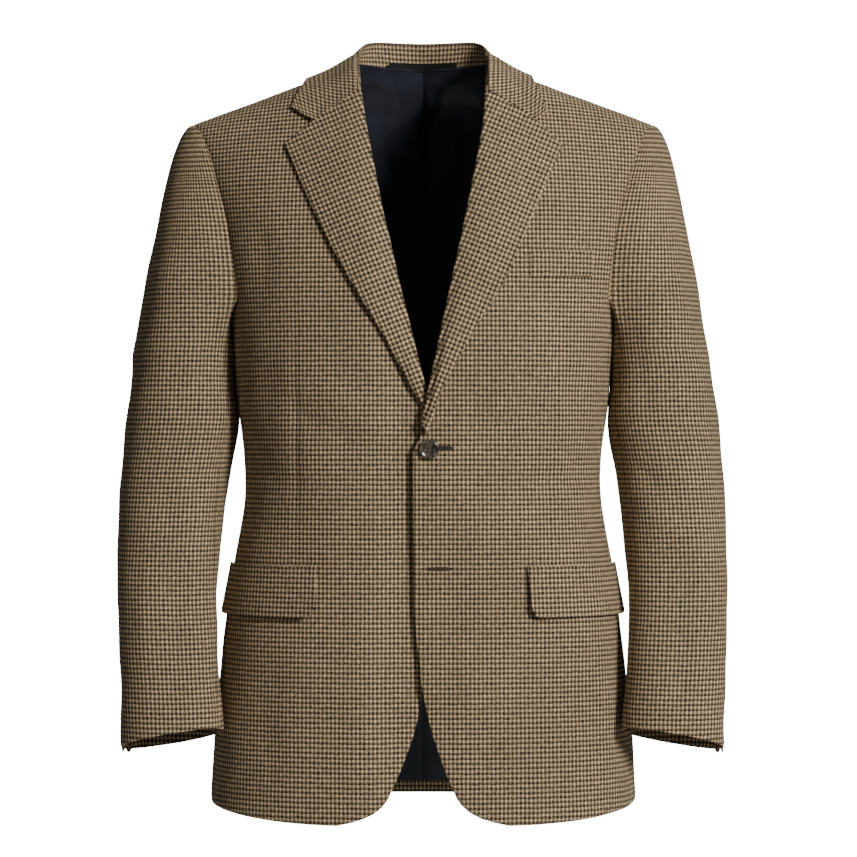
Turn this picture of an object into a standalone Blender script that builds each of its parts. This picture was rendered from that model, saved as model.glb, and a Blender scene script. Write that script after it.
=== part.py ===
"""Houndstooth blazer, filled out and hollow, as its maker's pieces.

Front faces -Y, +X is the wearer's left, +Z is up. The origin is the point midway between
the shoulders where the garment is held. Tables are in millimetres.
"""

import math
from collections import namedtuple

import bmesh
import bpy
from mathutils import Vector

MM = 0.001

# Driving sizes, in millimetres
CLOTH = 2.0                # wall of a cloth panel
LAPEL_CLOTH = 2.2          # lapel, collar and flap: two layers of cloth
LINING = 1.0
SEAM_GAP = 0.4             # between two pieces at a seam
SLEEVE_GAP = 0.9           # between the armhole and the sleeve's own edge
SECTION_POWER = 2.6        # roundness of the body's level sections
SHOULDER_SLOPE = 0.369
SHOULDER_LEVEL_X = 90.0    # where the shoulder line crosses the origin's level
NECK_RISE = 6.5            # the shoulder line turns up beside the neck
NECK_RISE_X = 66.0
NECK_RISE_WIDTH = 22.0
HEM_RISE_SIDE = 12.5       # hem at the sides above the front hem
HEM_RISE_BACK = 2.0
LAP_DEPTH = 7.5            # how far the under front lies behind the top front
LAP_FROM, LAP_TO = -58.0, -14.0
SIDE_SEAM_FRONT = 76.0     # seam places round the body, degrees from centre front
SIDE_SEAM_BACK = 104.0
ROLL_RADIUS = 2.0          # roll of the lapel and collar at the middle of the cloth
ROLL_INSET = 3.5           # front panel's edge behind the visible roll
UNDERARM = 13              # index of the section at the underarm

Section = namedtuple("Section", "drop follow half_width front back hem")
SECTIONS = [
    Section(0, 1.00, 262.0, 0.0, 0.0, 0.0),
    Section(2, 0.99, 259.0, 12.5, 20.0, 0.0),
    Section(6, 0.97, 256.0, 21.5, 33.5, 0.0),
    Section(13, 0.93, 252.0, 31.0, 49.5, 0.0),
    Section(24.5, 0.87, 247.0, 40.5, 67.5, 0.0),
    Section(40, 0.79, 240.5, 50.0, 82.0, 0.0),
    Section(62, 0.69, 234.0, 62.5, 95.0, 0.0),
    Section(93, 0.55, 227.0, 79.0, 108.0, 0.0),
    Section(127, 0.40, 219.5, 94.0, 119.0, 0.0),
    Section(160, 0.27, 213.0, 104.5, 127.0, 0.0),
    Section(195, 0.15, 208.0, 113.0, 132.0, 0.0),
    Section(228, 0.06, 204.0, 119.0, 134.0, 0.0),
    Section(243, 0.02, 202.0, 121.0, 134.0, 0.0),
    Section(255, 0.00, 200.0, 122.5, 133.5, 0.0),
    Section(300, 0.00, 195.5, 126.0, 129.0, 0.0),
    Section(350, 0.00, 191.5, 125.0, 119.5, 0.0),
    Section(400, 0.00, 184.5, 122.0, 110.5, 0.0),
    Section(450, 0.00, 185.5, 120.0, 108.5, 0.0),
    Section(508, 0.00, 196.5, 120.5, 114.0, 0.0),
    Section(560, 0.00, 203.5, 122.5, 122.0, 0.0),
    Section(610, 0.00, 208.5, 125.0, 129.0, 0.0),
    Section(655, 0.00, 213.0, 127.0, 134.0, 0.0),
    Section(695, 0.00, 216.5, 128.5, 137.0, 0.3),
    Section(728, 0.00, 218.5, 129.0, 138.5, 0.65),
    Section(748, 0.00, 219.5, 129.0, 139.0, 0.88),
    Section(759, 0.00, 220.0, 129.0, 139.0, 1.0),
    Section(765, 0.00, 220.3, 129.0, 139.0, 1.0),
    Section(769, 0.00, 220.5, 129.0, 139.0, 1.0),
]

# Armhole seam, one row for each section above the underarm: x in front and at the back
Armhole = namedtuple("Armhole", "front back")
ARMHOLES = [
    Armhole(239.0, 239.0), Armhole(238.0, 238.3), Armhole(236.0, 237.0), Armhole(232.5, 235.0),
    Armhole(228.5, 232.0), Armhole(224.0, 229.0), Armhole(218.5, 224.0), Armhole(212.0, 218.0),
    Armhole(205.0, 211.5), Armhole(198.7, 206.0), Armhole(194.2, 200.5), Armhole(190.5, 195.5),
    Armhole(191.5, 196.0),
]
BACK_NECK = [80.0, 75.0, 63.5, 42.0, 0.0]      # back neckline x at the first sections

# Inner edge of each front, from the neck down the roll line and the cutaway edge
FrontEdge = namedtuple("FrontEdge", "level left right")
FRONT_EDGES = [
    FrontEdge(8, 80, 80), FrontEdge(0, 76, 76), FrontEdge(-12, 69, 69), FrontEdge(-26, 64, 63.5),
    FrontEdge(-57, 61.5, 58.5), FrontEdge(-88, 56.4, 53), FrontEdge(-121, 50, 46.5),
    FrontEdge(-152, 43.8, 40.5), FrontEdge(-184, 37.2, 33), FrontEdge(-220, 29.3, 25),
    FrontEdge(-262, 20.3, 14.5), FrontEdge(-300, 12.4, 5), FrontEdge(-330, 5.8, -3),
    FrontEdge(-355, 0.5, -9.5), FrontEdge(-378, -5.5, -16), FrontEdge(-392, -9.4, -20.5),
    FrontEdge(-412, -9.8, -22), FrontEdge(-506, -8.9, -20), FrontEdge(-550, -8.3, -15),
    FrontEdge(-582, -6.3, -9), FrontEdge(-606, -3.1, -4.5), FrontEdge(-627, -1.3, -0.5),
    FrontEdge(-640, 1.2, 1.5), FrontEdge(-657, 4.8, 4.2), FrontEdge(-676, 9.6, 8.8),
    FrontEdge(-698, 16.9, 16.2), FrontEdge(-716, 23.4, 23), FrontEdge(-731, 29.6, 29.6),
    FrontEdge(-742, 34.5, 34.5), FrontEdge(-750, 41.2, 41), FrontEdge(-757, 50.5, 50.5),
    FrontEdge(-762, 61.5, 61.5), FrontEdge(-766, 74.5, 74), FrontEdge(-769, 89, 88),
]
BREAK_LEVEL = -380.0       # the lapels end here, at the top button
BREAK_BLEND = 16.0
BREAK_ROW = 15.6           # the same place in the section table

# Lapel: level on the roll line, and the outer edge of the left and the right lapel
LapelRow = namedtuple("LapelRow", "roll left_x left_z right_x right_z")
LAPEL_ROWS = [
    LapelRow(-27, 141.5, -85, 139.5, -82), LapelRow(-62, 129, -112, 125, -116),
    LapelRow(-98, 113, -150, 109, -152), LapelRow(-136, 96, -189, 89.5, -191),
    LapelRow(-176, 78, -229, 69.5, -227), LapelRow(-218, 57, -262, 51, -259),
    LapelRow(-260, 38, -296, 33, -292), LapelRow(-300, 21.5, -326, 17, -320),
    LapelRow(-338, 6.5, -355, 2, -346), LapelRow(-368, -5.5, -376, -11, -372),
]
LAPEL_COLUMNS = 8
LAPEL_LIFT = 2.2           # middle of the lapel above the front's outer face, at its edge
LAPEL_BELLY = 1.6          # extra lift half way across
ROLL_STEPS = 3
LAPEL_GAP = 0.9            # lapel's start beyond the front's edge

# Collar stations from centre back to the gorge: seam at the neck, fold, outer edge
CollarRow = namedtuple(
    "CollarRow",
    "seam_x seam_y seam_z fold_x fold_y fold_z left_x left_y right_x right_y bulge lift")
COLLAR_ROWS = [
    CollarRow(0, 67.5, 8.6, 0, 62, 36.0, 0, 86, 0, 86, 3.0, 2.6),
    CollarRow(25, 59.5, 9.4, 22, 60.5, 36.3, 30, 85, 31, 85, 3.0, 2.6),
    CollarRow(48, 47.5, 9.6, 43, 54, 36.5, 60, 78, 63, 78, 3.2, 2.6),
    CollarRow(64, 32.0, 9.9, 57, 42, 34.4, 83, 62, 86, 62, 3.0, 2.6),
    CollarRow(75, 15.0, 9.4, 64, 26, 28.6, 97, 36, 102, 36, 2.4, 2.6),
    CollarRow(78, 1.0, 8.3, 66.5, 8, 19.0, 105, 9, 113, 10, 2.0, 3.0),
    CollarRow(74.5, -13, 1.6, 66.5, -9, 7.5, 113, -13, 122, -12, 2.0, 4.0),
    CollarRow(69.5, -27, -10.0, 65.5, -27, -8.0, 119, -29, 129, -27, 2.0, 4.0),
]
# The collar's front end follows the gorge seam to the notch, then runs to its tip
CollarEnd = namedtuple("CollarEnd", "roll notch_x notch_z tip_x tip_z")
COLLAR_END_LEFT = CollarEnd(-25, 114.5, -54.5, 126.5, -46.5)
COLLAR_END_RIGHT = CollarEnd(-25, 110, -57.5, 134.5, -43.0)
COLLAR_COLUMNS = 7

# Sleeve rings below the cap, from the bicep to the cuff
Ring = namedtuple("Ring", "x y z half_x half_y lean")
RINGS = [
    Ring(244.5, 2, -290, 52.0, 70.0, 0.00), Ring(247.5, 0, -320, 53.5, 66.5, 0.00),
    Ring(249.6, -6, -367, 57.9, 60.5, 0.00), Ring(257.0, -14, -422, 55.6, 55.0, 0.00),
    Ring(260.8, -24, -472, 54.2, 50.5, 0.01), Ring(262.7, -38, -532, 52.1, 46.0, 0.04),
    Ring(260.8, -51, -587, 51.0, 42.5, 0.08), Ring(257.8, -62, -637, 51.0, 40.0, 0.12),
    Ring(255.8, -68, -664, 51.5, 39.0, 0.14), Ring(254.5, -73, -686, 52.0, 38.0, 0.17),
]
SLEEVE_POWER = 2.4
# Outer face of each sleeve beyond the table, by place along it
SleeveShift = namedtuple("SleeveShift", "place left right")
SLEEVE_SHIFTS = [
    SleeveShift(0.0, 0.0, 0.0), SleeveShift(0.25, -2.8, -1.6), SleeveShift(0.5, -4.0, -1.0),
    SleeveShift(0.8, -2.0, 2.4), SleeveShift(1.2, -0.8, 3.2), SleeveShift(2.0, -1.0, 0.4),
    SleeveShift(4.0, -2.2, 0.0), SleeveShift(7.0, -1.6, -0.8), SleeveShift(10.0, 0.0, 0.6),
]
CAP_STEPS = 7
RING_STEPS = 11
# How the cap leaves the armhole: direction and strength at the top, front, underarm, back
CapLine = namedtuple("CapLine", "angle x y z leave arrive")
CAP_LINES = [
    CapLine(0, 0.975, 0.0, 0.22, 0.40, 1.05), CapLine(90, 0.80, -0.52, -0.30, 0.38, 0.95),
    CapLine(180, 0.62, 0.0, -0.78, 0.70, 0.80), CapLine(270, 0.80, 0.52, -0.30, 0.38, 0.95),
    CapLine(360, 0.975, 0.0, 0.22, 0.40, 1.05),
]
SLEEVE_SEAMS_TOP = (140.0, 287.0)     # front seam and hind-arm seam at the armhole, degrees
SLEEVE_SEAMS_CUFF = (165.0, 325.0)
BODY_CLEARANCE = 2.4

# Pockets, buttons and label
FLAP_LEVELS = (-510.0, -557.0)
FLAP_ANGLES = (26.0, 88.0)
FLAP_CORNER = 9.0
FLAP_LIFTS = (0.6, 2.6)
WELT_X = (108.0, 172.0)
WELT_LEVELS = (-218.5, -192.0)
WELT_SLANT = 0.04
BUTTON_X = 6.2
BUTTON_LEVEL = -391.5
BUTTON_SPACING = 120.0
BUTTON_RADIUS = 10.0
BUTTON_DEPTH = 3.4
BUTTON_SEAT = 0.9                     # button's back above the cloth
SLEEVE_BUTTON_RADIUS = 7.5
SLEEVE_BUTTON_DEPTH = 3.0
SLEEVE_BUTTON_SPACING = 16.5
SLEEVE_BUTTON_FIRST = 38.0            # first button above the cuff's edge
SLEEVE_BUTTON_ANGLE = 312.0
SLEEVE_BUTTONS = 4
LINING_DEPTH = 5.4
LINING_END = 25.55                    # section, a little above the hem
FACING_DEPTH = 3.3
FACING_START = 23.9
LABEL_HALF = 35.0
LABEL_LEVELS = (17.0, 7.5)
LABEL_COLUMNS = 8
LABEL_SEAT = 1.4
LABEL_CLOTH = 0.8


def mix(first, second, part):
    """Straight blend of two values."""
    return first + (second - first) * part


def smooth(value, low, high):
    """0 below low, 1 above high and an even curve between."""
    part = min(max((value - low) / (high - low), 0.0), 1.0)
    return part * part * (3.0 - 2.0 * part)


def curve_through(values, place, odd=False):
    """Read a column of a table at a place between its rows, on a smooth curve."""
    last = len(values) - 1
    index = min(int(math.floor(place)), last - 1)
    part = place - index

    def at(row):
        if row < 0:
            return -values[-row] if odd else values[-row]
        if row > last:
            return 2 * values[last] - values[last - 1]
        return values[row]

    before, start, end, after = (at(index + step) for step in (-1, 0, 1, 2))
    slope_start = (end - before) / 2
    slope_end = (after - start) / 2
    square, cube = part * part, part ** 3
    return ((2 * cube - 3 * square + 1) * start + (cube - 2 * square + part) * slope_start
            + (3 * square - 2 * cube) * end + (cube - square) * slope_end)


def read_line(keys, values, key):
    """Read a table at a key on straight lines between its rows; keys may rise or fall."""
    rising = keys[-1] > keys[0]
    for index in range(len(keys) - 1):
        low, high = keys[index], keys[index + 1]
        if (key <= high) if rising else (key >= high):
            return mix(values[index], values[index + 1], min(max((key - low) / (high - low), 0), 1))
    return values[-1]


def section_at(row):
    """All columns of the body's section table at a fractional row."""
    columns = list(zip(*SECTIONS))
    odd = (False, False, False, True, True, False)
    return Section(*(curve_through(column, row, flag) for column, flag in zip(columns, odd)))


def shoulder_line(x):
    """Height of the shoulder line over a place x."""
    rise = NECK_RISE * math.exp(-((abs(x) - NECK_RISE_X) / NECK_RISE_WIDTH) ** 2)
    return rise - SHOULDER_SLOPE * (abs(x) - SHOULDER_LEVEL_X)


def signed_power(value, power):
    """Power that keeps the sign."""
    return math.copysign(abs(value) ** power, value)


def body_point(side, angle, row):
    """Point on the body's outer face. Angle 0 is centre front, 90 the side, 180 the back."""
    if row < 0:
        row, angle = -row, 180.0 - angle
    section = section_at(row)
    sine, cosine = math.sin(math.radians(angle)), math.cos(math.radians(angle))
    x = section.half_width * signed_power(sine, 2 / SECTION_POWER)
    depth = section.front if cosine > 0 else section.back
    y = -depth * signed_power(cosine, 2 / SECTION_POWER)
    hem = HEM_RISE_SIDE * sine ** 3 + HEM_RISE_BACK * (1 - cosine)
    z = -section.drop + section.follow * shoulder_line(x) + section.hem * hem
    x *= side
    if side < 0 and cosine > 0:
        y += LAP_DEPTH * smooth(x, LAP_FROM, LAP_TO)
    return Vector((x, y, z))


def body_normal(side, angle, row):
    """Outward direction of the body's outer face."""
    across = body_point(side, angle + 0.4, row) - body_point(side, angle - 0.4, row)
    down = body_point(side, angle, row + 0.03) - body_point(side, angle, row - 0.03)
    return (down.cross(across) * side).normalized()


def angle_of(x, row):
    """Angle round the body of a place x on a section."""
    part = min(abs(x) / section_at(row).half_width, 1.0)
    return math.degrees(math.asin(part ** (SECTION_POWER / 2))) * math.copysign(1, x)


def row_at(side, x, z):
    """Row of the section table whose surface passes a front-view place."""
    low, high = 0.0, float(len(SECTIONS) - 1)
    for _ in range(26):
        middle = (low + high) / 2
        if body_point(side, angle_of(x * side, middle), middle).z > z:
            low = middle
        else:
            high = middle
    return (low + high) / 2


def on_front(side, x, z, lift):
    """Point over the front at a front-view place, lifted off the cloth."""
    row = row_at(side, x, z)
    angle = angle_of(x * side, row)
    return body_point(side, angle, row) + body_normal(side, angle, row) * lift


def height_at(x, y):
    """Height of the body's outer face over a plan place near the shoulders."""
    low, high = 0.0, 10.0
    for _ in range(22):
        middle = (low + high) / 2
        section = section_at(middle)
        depth = section.front if y < 0 else section.back
        reach = depth * (1 - (abs(x) / section.half_width) ** SECTION_POWER) ** (1 / SECTION_POWER)
        if reach < abs(y):
            low = middle
        else:
            high = middle
    section = section_at((low + high) / 2)
    return -section.drop + section.follow * shoulder_line(x)


def front_edge_x(side, z):
    """Visible inner edge of a front at a level, measured towards its own side."""
    levels = [row.level for row in FRONT_EDGES]
    places = [row.left if side > 0 else row.right for row in FRONT_EDGES]
    x = read_line(levels, places, z)
    folded = smooth(z, BREAK_LEVEL - BREAK_BLEND, BREAK_LEVEL) * (1 - smooth(z, -26, -4))
    return x + ROLL_INSET * folded


def front_start(side, row):
    """Angle where a front panel begins on a row."""
    x = 60.0
    for _ in range(8):
        level = body_point(side, angle_of(x, row), row).z
        x = mix(x, front_edge_x(side, level), 0.8)
    return angle_of(x, row)


def armhole_angle(back, row):
    """Angle of the armhole seam, or of the side seam below it, on a row."""
    angles = [angle_of(hole.back if back else hole.front, index)
              for index, hole in enumerate(ARMHOLES)]
    angles.append(180 - SIDE_SEAM_BACK if back else SIDE_SEAM_FRONT)
    angle = angles[-1] if row >= UNDERARM else read_line(range(UNDERARM + 1), angles, row)
    return 180 - angle if back else angle


def back_neck_angle(row):
    """Angle where a back panel begins on a row: the neckline, then the centre back."""
    if row >= len(BACK_NECK) - 1:
        return 180.0
    return 180.0 - angle_of(read_line(range(len(BACK_NECK)), BACK_NECK, row), row)


def draw_in(point, neighbour):
    """Move a border point towards its neighbour by half the seam gap."""
    return point + (neighbour - point).normalized() * SEAM_GAP * 0.5


def part_sides(grid):
    """Draw in the first and last point of every line of a grid."""
    for line in grid:
        line[0] = draw_in(line[0], line[1])
        line[-1] = draw_in(line[-1], line[-2])
    return grid


def part_seams(grid):
    """Draw in all four borders of a grid."""
    part_sides(grid)
    grid[0] = [draw_in(point, below) for point, below in zip(grid[0], grid[1])]
    grid[-1] = [draw_in(point, above) for point, above in zip(grid[-1], grid[-2])]
    return grid


def wall(name, outer, inner, material):
    """Closed cloth wall between an outer and an inner grid of points."""
    mesh = bmesh.new()
    faces = []
    for grid in (outer, inner):
        faces.append([[mesh.verts.new(point * MM) for point in line] for line in grid])
    front, rear = faces
    rows, columns = len(front), len(front[0])
    for i in range(rows - 1):
        for j in range(columns - 1):
            for layer in (front, rear):
                mesh.faces.new((layer[i][j], layer[i][j + 1], layer[i + 1][j + 1], layer[i + 1][j]))
    rim = [(0, j) for j in range(columns)] + [(i, columns - 1) for i in range(1, rows)]
    rim += [(rows - 1, j) for j in reversed(range(columns - 1))]
    rim += [(i, 0) for i in reversed(range(1, rows - 1))]
    for here, there in zip(rim, rim[1:] + rim[:1]):
        mesh.faces.new((front[here[0]][here[1]], front[there[0]][there[1]],
                        rear[there[0]][there[1]], rear[here[0]][here[1]]))
    bmesh.ops.recalc_face_normals(mesh, faces=mesh.faces[:])
    return finish(name, mesh, material)


def finish(name, mesh, material):
    """Turn a bmesh into a named, smooth-shaded object."""
    data = bpy.data.meshes.new(name)
    mesh.to_mesh(data)
    mesh.free()
    data.shade_smooth()
    data.set_sharp_from_angle(angle=math.radians(50))
    data.materials.append(material)
    piece = bpy.data.objects.new(name, data)
    bpy.context.scene.collection.objects.link(piece)
    return piece


def material(name, colour, roughness, metallic=0.0):
    """Plain finish for one piece."""
    made = bpy.data.materials.new(name)
    made.use_nodes = True
    shader = made.node_tree.nodes["Principled BSDF"]
    shader.inputs["Base Color"].default_value = (*colour, 1.0)
    shader.inputs["Roughness"].default_value = roughness
    shader.inputs["Metallic"].default_value = metallic
    return made


def tweed(name):
    """Brown and tan houndstooth seen from far off."""
    return material(name + "_tweed", (0.180, 0.125, 0.078), 0.85)


def body_panel(name, side, rows, start, end, columns, depth, thickness, finish_material):
    """Piece of the body between two angles on each row, at a depth inside the outer face."""
    outer, inner = [], []
    for row in rows:
        first, last = start(row), end(row)
        outer_line, inner_line = [], []
        for j in range(columns):
            angle = mix(first, last, j / (columns - 1))
            point, normal = body_point(side, angle, row), body_normal(side, angle, row)
            outer_line.append(point - normal * depth)
            inner_line.append(point - normal * (depth + thickness))
        outer.append(outer_line)
        inner.append(inner_line)
    wall(name, part_seams(outer), part_seams(inner), finish_material)


def build_body():
    """Fronts, side bodies, back halves, their lining and the turned-up hem."""
    every_row = range(len(SECTIONS))
    front_rows = sorted([*every_row, BREAK_ROW])
    low_rows = range(UNDERARM, len(SECTIONS))
    lining_rows = [1, 2, 3, 4, 5.5, 7, 9, 11, 13, 14.5, 16, 17.5, 19, 21, 23, LINING_END]
    lining_material = material("lining_satin", (0.016, 0.019, 0.032), 0.4)
    for side, word in ((1, "left"), (-1, "right")):
        body_panel("front_" + word, side, front_rows, lambda row: front_start(side, row),
                   lambda row: armhole_angle(False, row), 12, 0.0, CLOTH, tweed("front_" + word))
        body_panel("side_" + word, side, low_rows, lambda row: SIDE_SEAM_FRONT,
                   lambda row: SIDE_SEAM_BACK, 5, 0.0, CLOTH, tweed("side_" + word))
        body_panel("back_" + word, side, every_row, back_neck_angle,
                   lambda row: armhole_angle(True, row), 10, 0.0, CLOTH, tweed("back_" + word))
        body_panel("lining_" + word, side, lining_rows, back_neck_angle,
                   lambda row: armhole_angle(True, row) + 5, 7, LINING_DEPTH, LINING,
                   lining_material)
    build_hem_facing()


def build_hem_facing():
    """Strip of cloth turned up inside the back hem, across both halves."""
    rows = [FACING_START, 24.6, 25.3, 26.0, 26.6]
    outer, inner = [], []
    for row in rows:
        outer_line, inner_line = [], []
        for side in (1, -1):
            angles = [mix(SIDE_SEAM_BACK + 4, 180, j / 8) for j in range(9)]
            if side < 0:
                angles = angles[-2::-1]
            for angle in angles:
                point, normal = body_point(side, angle, row), body_normal(side, angle, row)
                outer_line.append(point - normal * FACING_DEPTH)
                inner_line.append(point - normal * (FACING_DEPTH + LINING))
        outer.append(outer_line)
        inner.append(inner_line)
    wall("hem_facing", outer, inner, tweed("hem_facing"))


def surface_normals(grid):
    """Directions square to a grid of points, by the lines through its neighbours."""
    rows, columns = len(grid), len(grid[0])
    normals = []
    for i in range(rows):
        line = []
        for j in range(columns):
            down = grid[min(i + 1, rows - 1)][j] - grid[max(i - 1, 0)][j]
            across = grid[i][min(j + 1, columns - 1)] - grid[i][max(j - 1, 0)]
            line.append(down.cross(across).normalized())
        normals.append(line)
    return normals


def folded_wall(name, middle, thickness, finish_material):
    """Closed wall on both sides of a middle surface."""
    normals = surface_normals(middle)
    half = thickness / 2
    outer = [[p + n * half for p, n in zip(*pair)] for pair in zip(middle, normals)]
    inner = [[p - n * half for p, n in zip(*pair)] for pair in zip(middle, normals)]
    wall(name, outer, inner, finish_material)


def roll_frame(side, level):
    """Front panel's edge at a level: middle of its wall, outward and edgeward directions."""
    x = side * front_edge_x(side, level)
    above, below = level + 4.0, level - 4.0
    edge = on_front(side, x, level, 0.0)
    row = row_at(side, x, level)
    normal = body_normal(side, angle_of(x * side, row), row)
    along = (on_front(side, side * front_edge_x(side, below), below, 0.0)
             - on_front(side, side * front_edge_x(side, above), above, 0.0)).normalized()
    edgeward = along.cross(normal) * side
    start = edge - normal * CLOTH / 2 + edgeward * LAPEL_GAP
    return start, normal, edgeward


def rolled_start(side, level):
    """Points of the cloth's middle as it leaves the front's edge and rolls over it."""
    start, normal, edgeward = roll_frame(side, level)
    centre = start + normal * ROLL_RADIUS
    points = []
    for step in range(ROLL_STEPS + 1):
        turn = math.pi * step / ROLL_STEPS
        points.append(centre - normal * ROLL_RADIUS * math.cos(turn)
                      + edgeward * ROLL_RADIUS * math.sin(turn))
    return points


def lapel_line(side, level, edge_x, edge_z):
    """Middle of the lapel from the roll to its outer edge at one station."""
    points = rolled_start(side, level)
    first_lift = 2 * ROLL_RADIUS - CLOTH / 2
    roll_x = side * front_edge_x(side, level)
    for column in range(1, LAPEL_COLUMNS + 1):
        part = column / LAPEL_COLUMNS
        lift = mix(first_lift, LAPEL_LIFT, part) + LAPEL_BELLY * math.sin(math.pi * part)
        points.append(on_front(side, mix(roll_x, side * edge_x, part),
                               mix(level, edge_z, part), lift))
    return points


def build_lapels():
    """Both lapels: the fronts turned over along their roll lines."""
    for side, word in ((1, "left"), (-1, "right")):
        stations = []
        count = 2 * (len(LAPEL_ROWS) - 1) + 1
        for index in range(count):
            place = index / 2
            row = LapelRow(*(curve_through(column, place) for column in zip(*LAPEL_ROWS)))
            edge = (row.left_x, row.left_z) if side > 0 else (row.right_x, row.right_z)
            stations.append(lapel_line(side, row.roll, *edge))
        folded_wall("lapel_" + word, stations, LAPEL_CLOTH, tweed("lapel_" + word))


def collar_side(side):
    """Middle lines of the collar on one side, from centre back to the gorge."""
    stations = []
    count = 2 * (len(COLLAR_ROWS) - 1) + 1
    odd = [name in ("seam_x", "fold_x", "left_x", "right_x") for name in CollarRow._fields]
    for index in range(count):
        row = CollarRow(*(curve_through(column, index / 2, flag)
                          for column, flag in zip(zip(*COLLAR_ROWS), odd)))
        edge_x, edge_y = (row.left_x, row.left_y) if side > 0 else (row.right_x, row.right_y)
        seam = Vector((side * row.seam_x, row.seam_y, row.seam_z))
        fold = Vector((side * row.fold_x, row.fold_y, row.fold_z))
        edge = Vector((side * edge_x, edge_y, height_at(edge_x, edge_y)))
        stations.append(collar_line(seam, fold, edge, row))
    stations.append(collar_end_line(side, COLLAR_END_LEFT if side > 0 else COLLAR_END_RIGHT))
    return stations


def collar_line(seam, fold, edge, row):
    """Stand from the neck seam up to the fold, round it, and the fall down to the edge."""
    up = (fold * 2 - seam - edge).normalized()
    out = edge - seam
    out = (out - up * out.dot(up)).normalized()
    centre = fold - up * ROLL_RADIUS
    rise = centre - out * ROLL_RADIUS
    points = [seam + (rise - seam).normalized() * SEAM_GAP]
    for step in range(ROLL_STEPS):
        turn = math.pi * step / ROLL_STEPS
        points.append(centre - out * ROLL_RADIUS * math.cos(turn)
                      + up * ROLL_RADIUS * math.sin(turn))
    top = centre + out * ROLL_RADIUS
    across = (edge - top).cross(up).cross(edge - top).normalized()
    for column in range(COLLAR_COLUMNS + 1):
        part = column / COLLAR_COLUMNS
        point = top.lerp(edge, part) + across * row.bulge * math.sin(math.pi * part)
        points.append(lift_clear(point, row.lift))
    return points


def lift_clear(point, lift):
    """Raise a point of the collar to lie clear of the shoulder."""
    x, y = point.x, point.y
    slope_x = (height_at(x + 1, y) - height_at(x - 1, y)) / 2
    slope_y = (height_at(x, y + 1) - height_at(x, y - 1)) / 2
    need = height_at(x, y) + lift * math.sqrt(1 + slope_x ** 2 + slope_y ** 2)
    return Vector((x, y, max(point.z, need)))


def collar_end_line(side, end):
    """Front end of the collar, along the gorge seam to the notch and out to the tip."""
    rolled = rolled_start(side, end.roll)
    points = [rolled[0].lerp(rolled[1], 0.02)] + rolled[:-1]
    first_lift = 2 * ROLL_RADIUS - CLOTH / 2
    roll_x = front_edge_x(side, end.roll)
    notch = COLLAR_COLUMNS - 3
    for column in range(COLLAR_COLUMNS + 1):
        if column <= notch:
            part = column / notch
            x, z = mix(roll_x, end.notch_x, part), mix(end.roll, end.notch_z, part)
        else:
            part = (column - notch) / (COLLAR_COLUMNS - notch)
            x, z = mix(end.notch_x, end.tip_x, part), mix(end.notch_z, end.tip_z, part)
        whole = column / COLLAR_COLUMNS
        lift = mix(first_lift, LAPEL_LIFT, whole) + LAPEL_BELLY * math.sin(math.pi * whole)
        points.append(on_front(side, side * x, z, lift))
    return points


def build_collar():
    """Collar in one folded piece from gorge to gorge."""
    right = collar_side(-1)
    left = collar_side(1)
    folded_wall("collar", right[::-1] + left[1:], LAPEL_CLOTH, tweed("collar"))


def armhole_loop():
    """Closed line of the armhole from the shoulder down the front and up the back."""
    points = []
    for row in range(UNDERARM):
        points.append(body_point(1, armhole_angle(False, row), -row if row == 0 else row))
    for step in range(5):
        points.append(body_point(1, mix(SIDE_SEAM_FRONT, SIDE_SEAM_BACK, step / 4), UNDERARM))
    for row in reversed(range(1, UNDERARM)):
        points.append(body_point(1, armhole_angle(True, row), row))
    lengths = [0.0]
    for here, there in zip(points, points[1:] + points[:1]):
        lengths.append(lengths[-1] + (there - here).length)
    return points, lengths


ARMHOLE_POINTS, ARMHOLE_LENGTHS = armhole_loop()


def armhole_point(angle):
    """Point of the armhole seam, by the share of its length; 0 is the shoulder."""
    target = (angle % 360.0) / 360.0 * ARMHOLE_LENGTHS[-1]
    count = len(ARMHOLE_POINTS)
    for index in range(count):
        if target <= ARMHOLE_LENGTHS[index + 1]:
            step = ARMHOLE_LENGTHS[index + 1] - ARMHOLE_LENGTHS[index]
            part = (target - ARMHOLE_LENGTHS[index]) / step
            return ARMHOLE_POINTS[index].lerp(ARMHOLE_POINTS[(index + 1) % count], part)
    return ARMHOLE_POINTS[0].copy()


def ring_point(angle, place):
    """Point on a sleeve ring at a fractional row of the ring table."""
    ring = Ring(*(curve_through(column, place) for column in zip(*RINGS)))
    ahead = min(place + 0.5, len(RINGS) - 1)
    behind = max(place - 0.5, 0)
    heights = [row.z for row in RINGS]
    depths = [row.y for row in RINGS]
    pitch = ((curve_through(depths, ahead) - curve_through(depths, behind))
             / (curve_through(heights, ahead) - curve_through(heights, behind)))
    sine, cosine = math.sin(math.radians(angle)), math.cos(math.radians(angle))
    x = ring.half_x * signed_power(cosine, 2 / SLEEVE_POWER)
    y = -ring.half_y * signed_power(sine, 2 / SLEEVE_POWER)
    return Vector((ring.x + x, ring.y + y, ring.z - pitch * y - ring.lean * x))


def clear_of_body(point, amount):
    """Keep a sleeve point beside the body."""
    drop = max(-point.z, 256.0)
    row = read_line([section.drop for section in SECTIONS], range(len(SECTIONS)), drop)
    section = section_at(row)
    depth = section.front if point.y < 0 else section.back
    share = min(abs(point.y) / depth, 1.0)
    least = section.half_width * (1 - share ** SECTION_POWER) ** (1 / SECTION_POWER)
    least += 0.4 + (BODY_CLEARANCE - 0.4) * amount
    over = point.x - least
    point.x = least + (over + math.sqrt(over * over + 9.0)) / 2
    return point


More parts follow.
